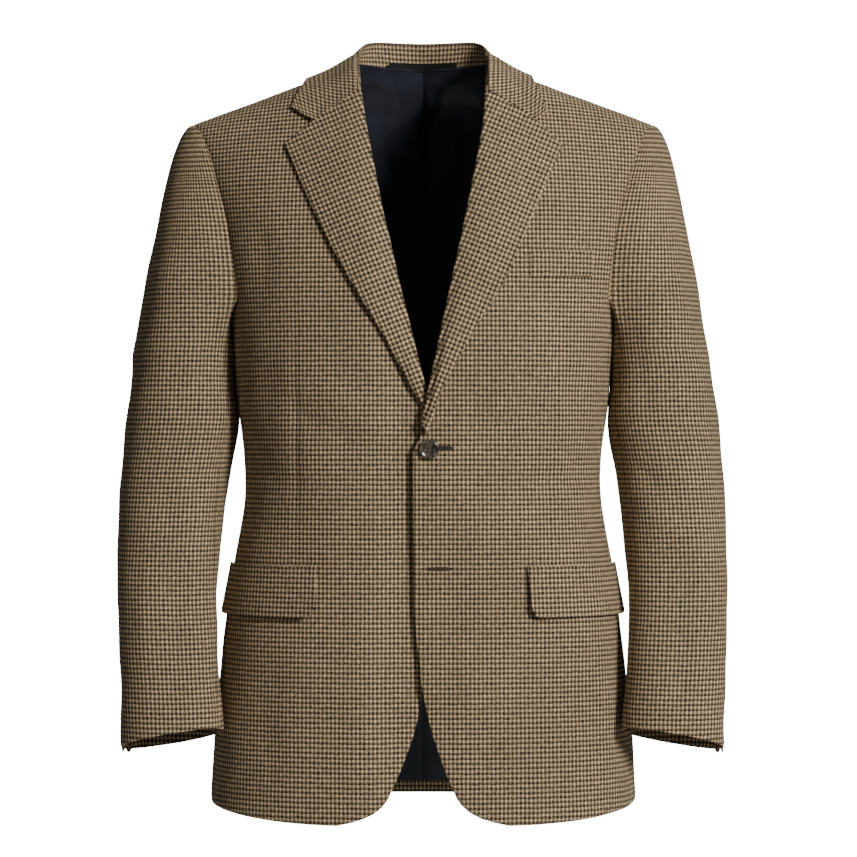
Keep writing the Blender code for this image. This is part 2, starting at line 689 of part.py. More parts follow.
def sleeve_shift(side, angle, place):
    """Outward shift of one sleeve's outer half."""
    amounts = [row.left if side > 0 else row.right for row in SLEEVE_SHIFTS]
    shift = read_line([row.place for row in SLEEVE_SHIFTS], amounts, place)
    return shift * (1 + math.cos(math.radians(angle))) / 2


def sleeve_point(side, angle, place):
    """Point on a sleeve's outer face, as for the left one: 0 to 1 is the cap, then the rings."""
    point = plain_sleeve_point(angle % 360.0, place)
    return point + Vector((sleeve_shift(side, angle, place), 0, 0))


def plain_sleeve_point(angle, place):
    """Point on the sleeve of the tables, which lies on the +X side."""
    inner = smooth(angle, 100, 135) * (1 - smooth(angle, 225, 260))
    if place >= 1:
        point = ring_point(angle, place - 1)
        if inner > 0:
            point = point.lerp(clear_of_body(point.copy(), 1.0), inner)
        return point
    line = CapLine(*(read_line([row.angle for row in CAP_LINES], column, angle)
                     for column in zip(*CAP_LINES)))
    start, end = armhole_point(angle), ring_point(angle, 0)
    leave = Vector((line.x, line.y, line.z)).normalized()
    start = start + (leave + Vector((0.6, 0, 0))).normalized() * SLEEVE_GAP
    reach = (end - start).length
    arrive = (ring_point(angle, 0.25) - end).normalized()
    square, cube = place * place, place ** 3
    point = (start * (2 * cube - 3 * square + 1)
             + leave * reach * line.leave * (cube - 2 * square + place)
             + end * (3 * square - 2 * cube)
             + arrive * reach * line.arrive * (cube - square))
    if inner > 0 and place > 0:
        clear = clear_of_body(point.copy(), place)
        point = point.lerp(clear, inner * smooth(place, 0, 0.35))
    return point


def sleeve_normal(side, angle, place):
    """Outward direction of the sleeve's outer face."""
    around = sleeve_point(side, angle + 1.5, place) - sleeve_point(side, angle - 1.5, place)
    low, high = max(place - 0.04, 0.0), min(place + 0.04, float(len(RINGS)))
    along = sleeve_point(side, angle, high) - sleeve_point(side, angle, low)
    return along.cross(around).normalized() * -1.0


def sleeve_seam(which, place):
    """Angle of a sleeve seam, which turns a little towards the cuff."""
    part = min(place / len(RINGS), 1.0)
    return mix(SLEEVE_SEAMS_TOP[which], SLEEVE_SEAMS_CUFF[which], part)


def build_sleeve_piece(name, side, first, last, columns):
    """One sleeve piece between two seams."""
    places = [step / CAP_STEPS for step in range(CAP_STEPS)]
    places += [1 + (len(RINGS) - 1) * step / RING_STEPS for step in range(RING_STEPS + 1)]
    outer, inner = [], []
    for place in places:
        outer_line, inner_line = [], []
        for j in range(columns):
            angle = mix(first(place), last(place), j / (columns - 1))
            point, normal = sleeve_point(side, angle, place), sleeve_normal(side, angle, place)
            under = point - normal * CLOTH
            outer_line.append(Vector((point.x * side, point.y, point.z)))
            inner_line.append(Vector((under.x * side, under.y, under.z)))
        outer.append(outer_line)
        inner.append(inner_line)
    wall(name, part_sides(outer), part_sides(inner), tweed(name))


def build_sleeves():
    """Top and under sleeves with their buttons."""
    button_finish = material("sleeve_button_horn", (0.05, 0.035, 0.025), 0.3)
    for side, word in ((1, "left"), (-1, "right")):
        build_sleeve_piece("under_sleeve_" + word, side, lambda place: sleeve_seam(0, place),
                           lambda place: sleeve_seam(1, place), 9)
        build_sleeve_piece("top_sleeve_" + word, side,
                           lambda place: sleeve_seam(1, place) - 360.0,
                           lambda place: sleeve_seam(0, place), 13)
        for number in range(SLEEVE_BUTTONS):
            up = SLEEVE_BUTTON_FIRST + number * SLEEVE_BUTTON_SPACING
            heights = [row.z for row in RINGS]
            place = 1 + read_line(heights, range(len(RINGS)), heights[-1] + up)
            angle = SLEEVE_BUTTON_ANGLE
            point, normal = sleeve_point(side, angle, place), sleeve_normal(side, angle, place)
            point, normal = (Vector((v.x * side, v.y, v.z)) for v in (point, normal))
            turned_button(f"sleeve_button_{word}_{number + 1}", point + normal * 0.5, normal,
                          SLEEVE_BUTTON_RADIUS, SLEEVE_BUTTON_DEPTH, 12, button_finish)


def turned_button(name, place, direction, radius, depth, sides, finish_material):
    """Sew-through button turned about its axis, with a raised rim and a dished face."""
    profile = [(0.0, 0.0), (0.62, 0.0), (1.0, 0.55), (0.93, 0.96), (0.80, 1.0), (0.68, 0.80),
               (0.0, 0.66)]
    mesh = bmesh.new()
    previous = None
    for across, up in profile:
        corner = mesh.verts.new((across * radius * MM, 0, up * depth * MM))
        if previous is not None:
            mesh.edges.new((previous, corner))
        previous = corner
    bmesh.ops.spin(mesh, geom=mesh.verts[:] + mesh.edges[:], cent=(0, 0, 0), axis=(0, 0, 1),
                   angle=2 * math.pi, steps=sides, use_merge=True)
    bmesh.ops.remove_doubles(mesh, verts=mesh.verts[:], dist=0.00001)
    turn = direction.to_track_quat("Z", "Y").to_matrix().to_4x4()
    bmesh.ops.transform(mesh, matrix=turn, verts=mesh.verts[:])
    bmesh.ops.translate(mesh, vec=place * MM, verts=mesh.verts[:])
    bmesh.ops.recalc_face_normals(mesh, faces=mesh.faces[:])
    finish(name, mesh, finish_material)


def build_front_buttons():
    """Upper button on the left front and lower button on the right front behind it."""
    horn = material("button_horn", (0.05, 0.035, 0.025), 0.25)
    for name, side, level in (("button_upper", 1, BUTTON_LEVEL),
                              ("button_lower", -1, BUTTON_LEVEL - BUTTON_SPACING)):
        place = on_front(side, BUTTON_X, level, BUTTON_SEAT)
        direction = place - on_front(side, BUTTON_X, level, 0.0)
        turned_button(name, place, direction, BUTTON_RADIUS, BUTTON_DEPTH, 24, horn)


def patch(name, places, thickness, finish_material):
    """Thin piece laid on the body: each place is side, angle, level and lift."""
    outer, inner = [], []
    for line in places:
        outer_line, inner_line = [], []
        for side, angle, level, lift in line:
            row = read_line([-section.drop for section in SECTIONS], range(len(SECTIONS)), level)
            point, normal = body_point(side, angle, row), body_normal(side, angle, row)
            outer_line.append(point + normal * (lift + thickness))
            inner_line.append(point + normal * lift)
        outer.append(outer_line)
        inner.append(inner_line)
    wall(name, outer, inner, finish_material)


def build_flaps():
    """Pocket flaps on both hips, with rounded lower corners."""
    top, bottom = FLAP_LEVELS
    columns, rows = 11, 4
    for side, word in ((1, "left"), (-1, "right")):
        places = []
        for i in range(rows + 1):
            line = []
            for j in range(columns + 1):
                part = i / rows
                share = j / columns
                angle = mix(*FLAP_ANGLES, share)
                end = max(1 - share * 12, 0) + max(1 - (1 - share) * 12, 0)
                level = mix(top, bottom + FLAP_CORNER * 0.45 * end, part)
                line.append((side, angle, level, mix(*FLAP_LIFTS, part)))
            places.append(line)
        patch("flap_" + word, places, LAPEL_CLOTH, tweed("flap_" + word))


def build_welt():
    """Breast pocket welt on the left front."""
    outer, inner = [], []
    for i in range(4):
        outer_line, inner_line = [], []
        for j in range(6):
            x = mix(*WELT_X, j / 5)
            z = mix(WELT_LEVELS[1], WELT_LEVELS[0], i / 3) + (x - WELT_X[0]) * WELT_SLANT
            outer_line.append(on_front(1, x, z, 0.4 + CLOTH))
            inner_line.append(on_front(1, x, z, 0.4))
        outer.append(outer_line)
        inner.append(inner_line)
    wall("breast_welt", outer, inner, tweed("breast_welt"))


def build_label():
    """Bare woven label across the neck seam, on the inside of the collar's stand."""
    outer, inner = [], []
    columns = list(zip(*COLLAR_ROWS))
    odd = [name in ("seam_x", "fold_x") for name in CollarRow._fields]
    for level in LABEL_LEVELS:
        outer_line, inner_line = [], []
        for j in range(LABEL_COLUMNS + 1):
            x = mix(-LABEL_HALF, LABEL_HALF, j / LABEL_COLUMNS)
            place = abs(x) / 25.0
            row = CollarRow(*(curve_through(c, place, flag) for c, flag in zip(columns, odd)))
            share = (level - row.seam_z) / (row.fold_z - row.seam_z)
            y = mix(row.seam_y, row.fold_y - ROLL_RADIUS, share) - LAPEL_CLOTH / 2 - LABEL_SEAT
            outer_line.append(Vector((x, y - LABEL_CLOTH, level)))
            inner_line.append(Vector((x, y, level)))
        outer.append(outer_line)
        inner.append(inner_line)
    wall("neck_label", outer, inner, material("label_weave", (0.012, 0.012, 0.014), 0.6))


def main():
    """Build every piece."""
    for old in list(bpy.data.objects):
        bpy.data.objects.remove(old, do_unlink=True)
    build_body()
    build_lapels()
    build_collar()
    build_sleeves()
    build_flaps()
    build_welt()
    build_front_buttons()
    build_label()


main()
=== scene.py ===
"""Houndstooth blazer, dressed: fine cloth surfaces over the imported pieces.

Front faces -Y, +X is the wearer's left, +Z is up. Cloth tables are in millimetres and turn
to metres where a mesh is made.
"""

from __future__ import annotations

import logging
import math
from dataclasses import dataclass, field
from enum import Enum
from typing import Callable, NamedTuple, Sequence

import bmesh
import bpy
import numpy as np
from mathutils import Matrix, Vector

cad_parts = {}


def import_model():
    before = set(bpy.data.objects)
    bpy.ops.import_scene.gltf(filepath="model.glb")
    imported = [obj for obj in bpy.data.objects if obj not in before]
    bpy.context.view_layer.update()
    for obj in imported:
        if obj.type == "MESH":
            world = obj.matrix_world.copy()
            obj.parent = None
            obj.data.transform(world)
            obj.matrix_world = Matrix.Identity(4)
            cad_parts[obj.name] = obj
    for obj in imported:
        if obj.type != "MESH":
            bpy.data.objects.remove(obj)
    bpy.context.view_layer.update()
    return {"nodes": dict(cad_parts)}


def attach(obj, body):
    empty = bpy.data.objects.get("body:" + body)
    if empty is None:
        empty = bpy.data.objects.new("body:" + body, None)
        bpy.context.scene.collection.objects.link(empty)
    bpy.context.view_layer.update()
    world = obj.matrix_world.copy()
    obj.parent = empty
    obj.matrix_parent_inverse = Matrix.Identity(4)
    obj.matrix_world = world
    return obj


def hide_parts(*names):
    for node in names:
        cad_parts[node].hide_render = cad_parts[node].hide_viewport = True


Array = np.ndarray
Colour = tuple[float, float, float]
BMesh, Material, Object, Socket = (bmesh.types.BMesh, bpy.types.Material, bpy.types.Object,
                                   bpy.types.NodeSocket)
MM = 0.001
TINY = 1e-12
LOG = logging.getLogger("blazer")

WEAVE_ACROSS = 0.00425      # houndstooth repeat, metres
WEAVE_ALONG = 0.0050


class Side(Enum):
    """Which half of the blazer, by the wearer."""

    LEFT = 1
    RIGHT = -1

    @property
    def word(self) -> str:
        """The side's name in node names."""
        return self.name.lower()


class Section(NamedTuple):
    """One level section of the body."""

    drop: float
    follow: float
    half_width: float
    front: float
    back: float
    hem: float


class CollarRow(NamedTuple):
    """One station of the collar."""

    seam_x: float
    seam_y: float
    seam_z: float
    fold_x: float
    fold_y: float
    fold_z: float
    left_x: float
    left_y: float
    right_x: float
    right_y: float
    bulge: float
    lift: float


class Ring(NamedTuple):
    """One ring of the sleeve."""

    x: float
    y: float
    z: float
    half_x: float
    half_y: float
    lean: float


# Body sections from the shoulders down: depth under them, share that follows their slope, half
# width, depth to the front and to the back, and share that follows the hem
SECTIONS = [
    Section(0, 1.00, 262.0, 0.0, 0.0, 0.0),
    Section(2, 0.99, 259.0, 12.5, 20.0, 0.0),
    Section(6, 0.97, 256.0, 21.5, 33.5, 0.0),
    Section(13, 0.93, 252.0, 31.0, 49.5, 0.0),
    Section(24.5, 0.87, 247.0, 40.5, 67.5, 0.0),
    Section(40, 0.79, 240.5, 50.0, 82.0, 0.0),
    Section(62, 0.69, 234.0, 62.5, 95.0, 0.0),
    Section(93, 0.55, 227.0, 79.0, 108.0, 0.0),
    Section(127, 0.40, 219.5, 94.0, 119.0, 0.0),
    Section(160, 0.27, 213.0, 104.5, 127.0, 0.0),
    Section(195, 0.15, 208.0, 113.0, 132.0, 0.0),
    Section(228, 0.06, 204.0, 119.0, 134.0, 0.0),
    Section(243, 0.02, 202.0, 121.0, 134.0, 0.0),
    Section(255, 0.00, 200.0, 122.5, 133.5, 0.0),
    Section(300, 0.00, 195.5, 126.0, 129.0, 0.0),
    Section(350, 0.00, 191.5, 125.0, 119.5, 0.0),
    Section(400, 0.00, 184.5, 122.0, 110.5, 0.0),
    Section(450, 0.00, 185.5, 120.0, 108.5, 0.0),
    Section(508, 0.00, 196.5, 120.5, 114.0, 0.0),
    Section(560, 0.00, 203.5, 122.5, 122.0, 0.0),
    Section(610, 0.00, 208.5, 125.0, 129.0, 0.0),
    Section(655, 0.00, 213.0, 127.0, 134.0, 0.0),
    Section(695, 0.00, 216.5, 128.5, 137.0, 0.3),
    Section(728, 0.00, 218.5, 129.0, 138.5, 0.65),
    Section(748, 0.00, 219.5, 129.0, 139.0, 0.88),
    Section(759, 0.00, 220.0, 129.0, 139.0, 1.0),
    Section(765, 0.00, 220.3, 129.0, 139.0, 1.0),
    Section(769, 0.00, 220.5, 129.0, 139.0, 1.0),
]
UNDERARM = 13
LAST_ROW = float(len(SECTIONS) - 1)

# Where the armhole's two edges and the back neckline cut each section, across from the centre
ARMHOLE_FRONT = [239.0, 238.0, 236.0, 232.5, 228.5, 224.0, 218.5, 212.0, 205.0, 198.7, 194.2,
                 190.5, 191.5]
ARMHOLE_BACK = [239.0, 238.3, 237.0, 235.0, 232.0, 229.0, 224.0, 218.0, 211.5, 206.0, 200.5,
                195.5, 196.0]
BACK_NECK = [80.0, 75.0, 63.5, 42.0, 0.0]

# Inner edge of each front: level, left, right
FRONT_EDGES = [
    (8, 80, 80), (0, 76, 76), (-12, 69, 69), (-26, 64, 63.5), (-57, 61.5, 58.5),
    (-88, 56.4, 53), (-121, 50, 46.5), (-152, 43.8, 40.5), (-184, 37.2, 33), (-220, 29.3, 25),
    (-262, 20.3, 14.5), (-300, 12.4, 5), (-330, 5.8, -3), (-355, 0.5, -9.5), (-378, -5.5, -16),
    (-392, -9.4, -20.5), (-412, -9.8, -22), (-506, -8.9, -20), (-550, -8.3, -15),
    (-582, -6.3, -9), (-606, -3.1, -4.5), (-627, -1.3, -0.5), (-640, 1.2, 1.5),
    (-657, 4.8, 4.2), (-676, 9.6, 8.8), (-698, 16.9, 16.2), (-716, 23.4, 23),
    (-731, 29.6, 29.6), (-742, 34.5, 34.5), (-750, 41.2, 41), (-757, 50.5, 50.5),
    (-762, 61.5, 61.5), (-766, 74.5, 74), (-769, 89, 88),
]

# Lapel: level on the roll line, outer edge of the left and the right lapel
LAPEL_ROWS = [
    (-27, 141.5, -85, 139.5, -82), (-62, 129, -112, 125, -116), (-98, 113, -150, 109, -152),
    (-136, 96, -189, 89.5, -191), (-176, 78, -229, 69.5, -227), (-218, 57, -262, 51, -259),
    (-260, 38, -296, 33, -292), (-300, 21.5, -326, 17, -320), (-338, 6.5, -355, 2, -346),
    (-368, -5.5, -376, -11, -372),
]

# Collar from centre back to the gorge: neck seam, fold, outer edges, bulge and lift
COLLAR_ROWS = [
    CollarRow(0, 67.5, 8.6, 0, 62, 36.0, 0, 86, 0, 86, 3.0, 2.6),
    CollarRow(25, 59.5, 9.4, 22, 60.5, 36.3, 30, 85, 31, 85, 3.0, 2.6),
    CollarRow(48, 47.5, 9.6, 43, 54, 36.5, 60, 78, 63, 78, 3.2, 2.6),
    CollarRow(64, 32.0, 9.9, 57, 42, 34.4, 83, 62, 86, 62, 3.0, 2.6),
    CollarRow(75, 15.0, 9.4, 64, 26, 28.6, 97, 36, 102, 36, 2.4, 2.6),
    CollarRow(78, 1.0, 8.3, 66.5, 8, 19.0, 105, 9, 113, 10, 2.0, 3.0),
    CollarRow(74.5, -13, 1.6, 66.5, -9, 7.5, 113, -13, 122, -12, 2.0, 4.0),
    CollarRow(69.5, -27, -10.0, 65.5, -27, -8.0, 119, -29, 129, -27, 2.0, 4.0),
]
# Front end of the collar: level on the roll, notch x and z, tip x and z
COLLAR_ENDS = {Side.LEFT: (-26.4, 114.5, -56.6, 126.5, -46.5),
               Side.RIGHT: (-26.4, 110, -58.6, 134.5, -43.0)}

# Sleeve rings under the cap, down to the cuff
RINGS = [
    Ring(244.5, 2, -290, 52.0, 70.0, 0.00), Ring(247.5, 0, -320, 53.5, 66.5, 0.00),
    Ring(249.6, -6, -367, 57.9, 60.5, 0.00), Ring(257.0, -14, -422, 55.6, 55.0, 0.00),
    Ring(260.8, -24, -472, 54.2, 50.5, 0.01), Ring(262.7, -38, -532, 52.1, 46.0, 0.04),
    Ring(260.8, -51, -587, 51.0, 42.5, 0.08), Ring(257.8, -62, -637, 51.0, 40.0, 0.12),
    Ring(255.8, -68, -664, 51.5, 39.0, 0.14), Ring(254.5, -73, -686, 52.0, 38.0, 0.17),
]
# Angle, direction x, y, z and strengths of the cap's curve out of the armhole
CAP_LINES = [
    (0, 0.975, 0.0, 0.22, 0.40, 1.05), (90, 0.80, -0.52, -0.30, 0.38, 0.95),
    (180, 0.62, 0.0, -0.78, 0.70, 0.80), (270, 0.80, 0.52, -0.30, 0.38, 0.95),
    (360, 0.975, 0.0, 0.22, 0.40, 1.05),
]
# Place along the sleeve, outward shift of the left and of the right one
SLEEVE_SHIFTS = [
    (0.0, 0.0, 0.0), (0.25, -2.8, -1.6), (0.5, -4.0, -1.0), (0.8, -2.0, 2.4), (1.2, -0.8, 3.2),
    (2.0, -1.0, 0.4), (4.0, -2.2, 0.0), (7.0, -1.6, -0.8), (10.0, 0.0, 0.6),
]


def mix(first, second, part):
    """Straight blend of two values or arrays."""
    return first + (second - first) * part


def smooth(value, low: float, high: float):
    """0 below low, 1 above high and an even curve between."""
    part = np.clip((value - low) / (high - low), 0.0, 1.0)
    return part * part * (3.0 - 2.0 * part)


def between(value: Array, rise_low: float, rise_high: float, fall_low: float,
            fall_high: float) -> Array:
    """1 inside a range and 0 outside it, with an even curve at each end."""
    return smooth(value, rise_low, rise_high) * (1 - smooth(value, fall_low, fall_high))


def hump(value: Array, width: float) -> Array:
    """Bell curve, 1 at 0."""
    return np.exp(-(value / width) ** 2)


def kept_over(value: Array, least: Array, ease: float) -> Array:
    """Values kept over a least one, the corner eased."""
    over = value - least
    return least + (over + np.sqrt(over * over + ease)) / 2


def signed_power(value: Array, power: float) -> Array:
    """Power that keeps the sign."""
    return np.copysign(np.abs(value) ** power, value)


def hermite(part: Array, start: Array, end: Array, leave: Array, arrive: Array) -> Array:
    """Smooth curve between two values with a slope at each end.

    Args:
        part: places on the curve, 0 to 1.
        start: value at 0.
        end: value at 1.
        leave: slope at 0.
        arrive: slope at 1.

    Returns:
        Values at the places.
    """
    square, cube = part ** 2, part ** 3
    return ((2 * cube - 3 * square + 1) * start + (cube - 2 * square + part) * leave
            + (3 * square - 2 * cube) * end + (cube - square) * arrive)


def curve_through(values: Sequence[float], place: Array, odd: bool = False) -> Array:
    """Read a table's column at places between its rows, on a smooth curve.

    Args:
        values: the column.
        place: fractional row numbers.
        odd: the column turns its sign before its first row.

    Returns:
        The column's values at the places.
    """
    column = np.asarray(values, float)
    place = np.asarray(place, float)
    ahead = -column[1] if odd else column[1]
    column = np.concatenate(([ahead], column, [2 * column[-1] - column[-2]]))
    index = np.clip(np.floor(place).astype(int), 0, len(values) - 2)
    part = place - index
    before, start, end, after = (column[index + step] for step in range(4))
    return hermite(part, start, end, (end - before) / 2, (after - start) / 2)


def read_curve(keys: Sequence[float], values: Sequence[float], key: Array) -> Array:
    """Read a table at a key on a smooth curve that never swings past its rows.

    Args:
        keys: the key column, rising or falling.
        values: the value column.
        key: where to read.

    Returns:
        The values there, held at the ends.
    """
    keys, values = np.asarray(keys, float), np.asarray(values, float)
    if keys[-1] < keys[0]:
        keys, values = keys[::-1], values[::-1]
    steps = np.diff(keys)
    slopes = np.diff(values) / steps
    tangents = np.concatenate(([slopes[0]], np.zeros(len(slopes) - 1), [slopes[-1]]))
    before, after = slopes[:-1], slopes[1:]
    same = before * after > 0
    tangents[1:-1][same] = (2 * before * after / (before + after + TINY))[same]
    key = np.clip(np.asarray(key, float), keys[0], keys[-1])
    index = np.clip(np.searchsorted(keys, key) - 1, 0, len(steps) - 1)
    step = steps[index]
    part = (key - keys[index]) / step
    return hermite(part, values[index], values[index + 1], step * tangents[index],
                   step * tangents[index + 1])


def unit(vectors: Array) -> Array:
    """Vectors at length one."""
    return vectors / np.maximum(np.linalg.norm(vectors, axis=-1, keepdims=True), TINY)


def grid_normals(points: Array) -> Array:
    """Directions square to a grid of points, by across x down."""
    down = np.gradient(points, axis=0)
    across = np.gradient(points, axis=1)
    return unit(np.cross(down, across))


def lengths_along(points: Array, axis: int) -> Array:
    """Running length of a grid's lines along one axis, from 0."""
    steps = np.linalg.norm(np.diff(points, axis=axis), axis=-1)
    start = np.zeros_like(np.take(steps, [0], axis=axis))
    return np.cumsum(np.concatenate((start, steps), axis=axis), axis=axis)


def even_steps(points: Array, values: Array, columns: int) -> Array:
    """Read values at even steps along rows of points.

    Args:
        points: fine rows of points.
        values: the value at each point.
        columns: how many values each row gives.

    Returns:
        Values as rows x columns.
    """
    return np.stack([np.interp(np.linspace(0, run[-1], columns), run, line)
                     for run, line in zip(lengths_along(points, 1), values)])


def collar_columns(place: Array) -> dict[str, Array]:
    """All columns of the collar table at fractional rows."""
    return {name: curve_through(column, place, name.endswith("_x"))
            for name, column in zip(CollarRow._fields, zip(*COLLAR_ROWS))}


def waves(first: Array, second: Array, seed: float) -> Array:
    """Gentle unevenness of cloth from crossed waves, about -1 to 1."""
    total = np.zeros(np.broadcast(first, second).shape)
    for number in range(1, 6):
        turn = seed * 1.7 + number * 2.399
        pitch = 95.0 / number ** 0.72
        run = first * math.cos(turn) + second * math.sin(turn)
        total += np.sin(run * 2 * math.pi / pitch + seed * number * 3.1) / number ** 0.8
    return total / 2.2


class Crease(NamedTuple):
    """Soft trough or ridge drawn over the front view."""

    points: Sequence[tuple[float, float]]
    height: float
    width: float


def crease_height(creases: Sequence[Crease], x: Array, z: Array) -> Array:
    """Sum of the creases at front-view places.

    Args:
        creases: troughs and ridges, as lines of (x, z) in millimetres.
        x: places across.
        z: levels.

    Returns:
        Height over the plain cloth, in millimetres.
    """
    total = np.zeros(np.broadcast(x, z).shape)
    for crease in creases:
        line = np.asarray(crease.points, float)
        nearest, along = np.full(total.shape, np.inf), np.zeros(total.shape)
        runs = lengths_along(line[None], 1)[0]
        for index in range(len(line) - 1):
            start, step = line[index], line[index + 1] - line[index]
            share = ((x - start[0]) * step[0] + (z - start[1]) * step[1]) / (step @ step)
            share = np.clip(share, 0.0, 1.0)
            away = np.hypot(x - start[0] - share * step[0], z - start[1] - share * step[1])
            closer = away < nearest
            nearest = np.where(closer, away, nearest)
            run = mix(runs[index], runs[index + 1], share)
            along = np.where(closer, run / runs[-1], along)
        fade = np.sin(np.pi * np.clip(along, 0.02, 0.98)) ** 0.6
        unevenness = 1 + 0.25 * np.sin(along * 9.0 + line[0, 0])
        total += crease.height * fade * unevenness * hump(nearest, crease.width)
    return total


@dataclass
class BodyForm:
    """The body's outer surface: level sections from the shoulders to the hem."""

    power: float = 2.6
    slope: float = 0.369
    level_x: float = 90.0
    neck_rise: float = 6.5
    neck_rise_x: float = 66.0
    neck_rise_width: float = 22.0
    hem_rise_side: float = 12.5
    hem_rise_back: float = 2.0
    lap_depth: float = 8.6
    lap_from: float = -58.0
    lap_to: float = -14.0
    seam_front: float = 76.0
    seam_back: float = 104.0
    roll_inset: float = 3.5
    break_level: float = -380.0
    break_blend: float = 16.0

    def section(self, row: Array) -> Section:
        """All columns of the section table at fractional rows."""
        odd = (False, False, False, True, True, False)
        return Section(*(curve_through(column, row, flag)
                         for column, flag in zip(zip(*SECTIONS), odd)))

    def shoulder(self, x: Array) -> Array:
        """Height of the shoulder line over a place x."""
        away = np.abs(x)
        rise = self.neck_rise * hump(away - self.neck_rise_x, self.neck_rise_width)
        return rise - self.slope * (away - self.level_x)

    def point(self, side: Side, angle: Array, row: Array) -> Array:
        """Points on the outer face.

        Args:
            side: half of the body.
            angle: degrees, 0 at centre front, 90 at the side and 180 at centre back.
            row: fractional row of the section table; below 0 it passes over the shoulder.

        Returns:
            Points in millimetres, with x, y and z last.
        """
        angle, row = np.broadcast_arrays(np.asarray(angle, float), np.asarray(row, float))
        angle, row = np.where(row < 0, 180.0 - angle, angle), np.abs(row)
        section = self.section(row)
        sine, cosine = np.sin(np.radians(angle)), np.cos(np.radians(angle))
        x = section.half_width * signed_power(sine, 2 / self.power)
        depth = np.where(cosine > 0, section.front, section.back)
        y = -depth * signed_power(cosine, 2 / self.power)
        hem = self.hem_rise_side * sine ** 3 + self.hem_rise_back * (1 - cosine)
        z = -section.drop + section.follow * self.shoulder(x) + section.hem * hem
        x = x * side.value
        if side is Side.RIGHT:
            lap = self.lap_depth * smooth(x, self.lap_from, self.lap_to)
            y = y + np.where(cosine > 0, lap, 0.0)
        return np.stack((x, y, z), axis=-1)

    def normal(self, side: Side, angle: Array, row: Array) -> Array:
        """Outward directions of the outer face."""
        across = self.point(side, angle + 0.4, row) - self.point(side, angle - 0.4, row)
        down = self.point(side, angle, row + 0.03) - self.point(side, angle, row - 0.03)
        return unit(np.cross(down, across)) * side.value

    def angle_of(self, x: Array, row: Array) -> Array:
        """Angle of a place x on a section."""
        part = np.minimum(np.abs(x) / self.section(row).half_width, 1.0)
        return np.degrees(np.arcsin(part ** (self.power / 2))) * np.sign(x)

    def row_at(self, side: Side, x: Array, z: Array) -> Array:
        """Rows whose surface passes front-view places."""
        x, z = np.broadcast_arrays(np.asarray(x, float), np.asarray(z, float))
        low, high = np.zeros(x.shape), np.full(x.shape, LAST_ROW)
        for _ in range(24):
            middle = (low + high) / 2
            above = self.point(side, self.angle_of(x * side.value, middle), middle)[..., 2] > z
            low, high = np.where(above, middle, low), np.where(above, high, middle)
        return (low + high) / 2

    def front_at(self, side: Side, x: Array, z: Array) -> tuple[Array, Array]:
        """Points of the front and their outward directions at front-view places."""
        row = self.row_at(side, x, z)
        angle = self.angle_of(np.asarray(x) * side.value, row)
        return self.point(side, angle, row), self.normal(side, angle, row)

    def on_front(self, side: Side, x: Array, z: Array, lift: Array) -> Array:
        """Points over the front at front-view places, lifted off the cloth."""
        points, normals = self.front_at(side, x, z)
        return points + normals * np.asarray(lift, float)[..., None]

    def height_at(self, x: Array, y: Array) -> Array:
        """Height of the outer face over plan places near the shoulders."""
        x, y = np.broadcast_arrays(np.asarray(x, float), np.asarray(y, float))
        low, high = np.zeros(x.shape), np.full(x.shape, 10.0)
        for _ in range(22):
            middle = (low + high) / 2
            section = self.section(middle)
            depth = np.where(y < 0, section.front, section.back)
            share = np.clip(1 - (np.abs(x) / section.half_width) ** self.power, 0, 1)
            short = depth * share ** (1 / self.power) < np.abs(y)
            low, high = np.where(short, middle, low), np.where(short, high, middle)
        section = self.section((low + high) / 2)
        return -section.drop + section.follow * self.shoulder(x)

    def front_edge(self, side: Side, level: Array) -> Array:
        """Inner edge of a front at a level, measured towards its own side."""
        levels, left, right = zip(*FRONT_EDGES)
        x = read_curve(levels, left if side is Side.LEFT else right, level)
        folded = smooth(level, self.break_level - self.break_blend, self.break_level)
        return x + self.roll_inset * folded * (1 - smooth(level, -26, -4))

    def front_start(self, side: Side, row: Array) -> Array:
        """Angles where a front panel begins."""
        x = np.full(np.shape(row), 60.0)
        for _ in range(12):
            level = self.point(side, self.angle_of(x, row), row)[..., 2]
            x = mix(x, self.front_edge(side, level), 0.8)
        return self.angle_of(x, row)

    def armhole(self, back: bool, row: Array) -> Array:
        """Angles of the armhole seam, or of the side seam below it."""
        holes = np.asarray(ARMHOLE_BACK if back else ARMHOLE_FRONT)
        angles = list(self.angle_of(holes, np.arange(len(holes), dtype=float)))
        angles.append(180 - self.seam_back if back else self.seam_front)
        angle = read_curve(range(UNDERARM + 1), angles, row)
        return 180 - angle if back else angle

    def back_neck(self, row: Array) -> Array:
        """Angles where a back panel begins: the neckline, then the centre back."""
        row = np.asarray(row, float)
        x = read_curve(range(len(BACK_NECK)), BACK_NECK, row)
        return np.where(row >= len(BACK_NECK) - 1, 180.0, 180.0 - self.angle_of(x, row))

    def even_angles(self, side: Side, first: Array, last: Array, row: Array,
                    columns: int) -> Array:
        """Angles on each row that space its columns evenly along the cloth.

        Args:
            side: half of the body.
            first: starting angle of each row.
            last: ending angle of each row.
            row: the rows.
            columns: points on each row.

        Returns:
            Angles as rows x columns.
        """
        share = 0.5 - 0.5 * np.cos(math.pi * np.linspace(0, 1, 320))
        fine = mix(first[:, None], last[:, None], share)
        return even_steps(self.point(side, fine, row[:, None]), fine, columns)

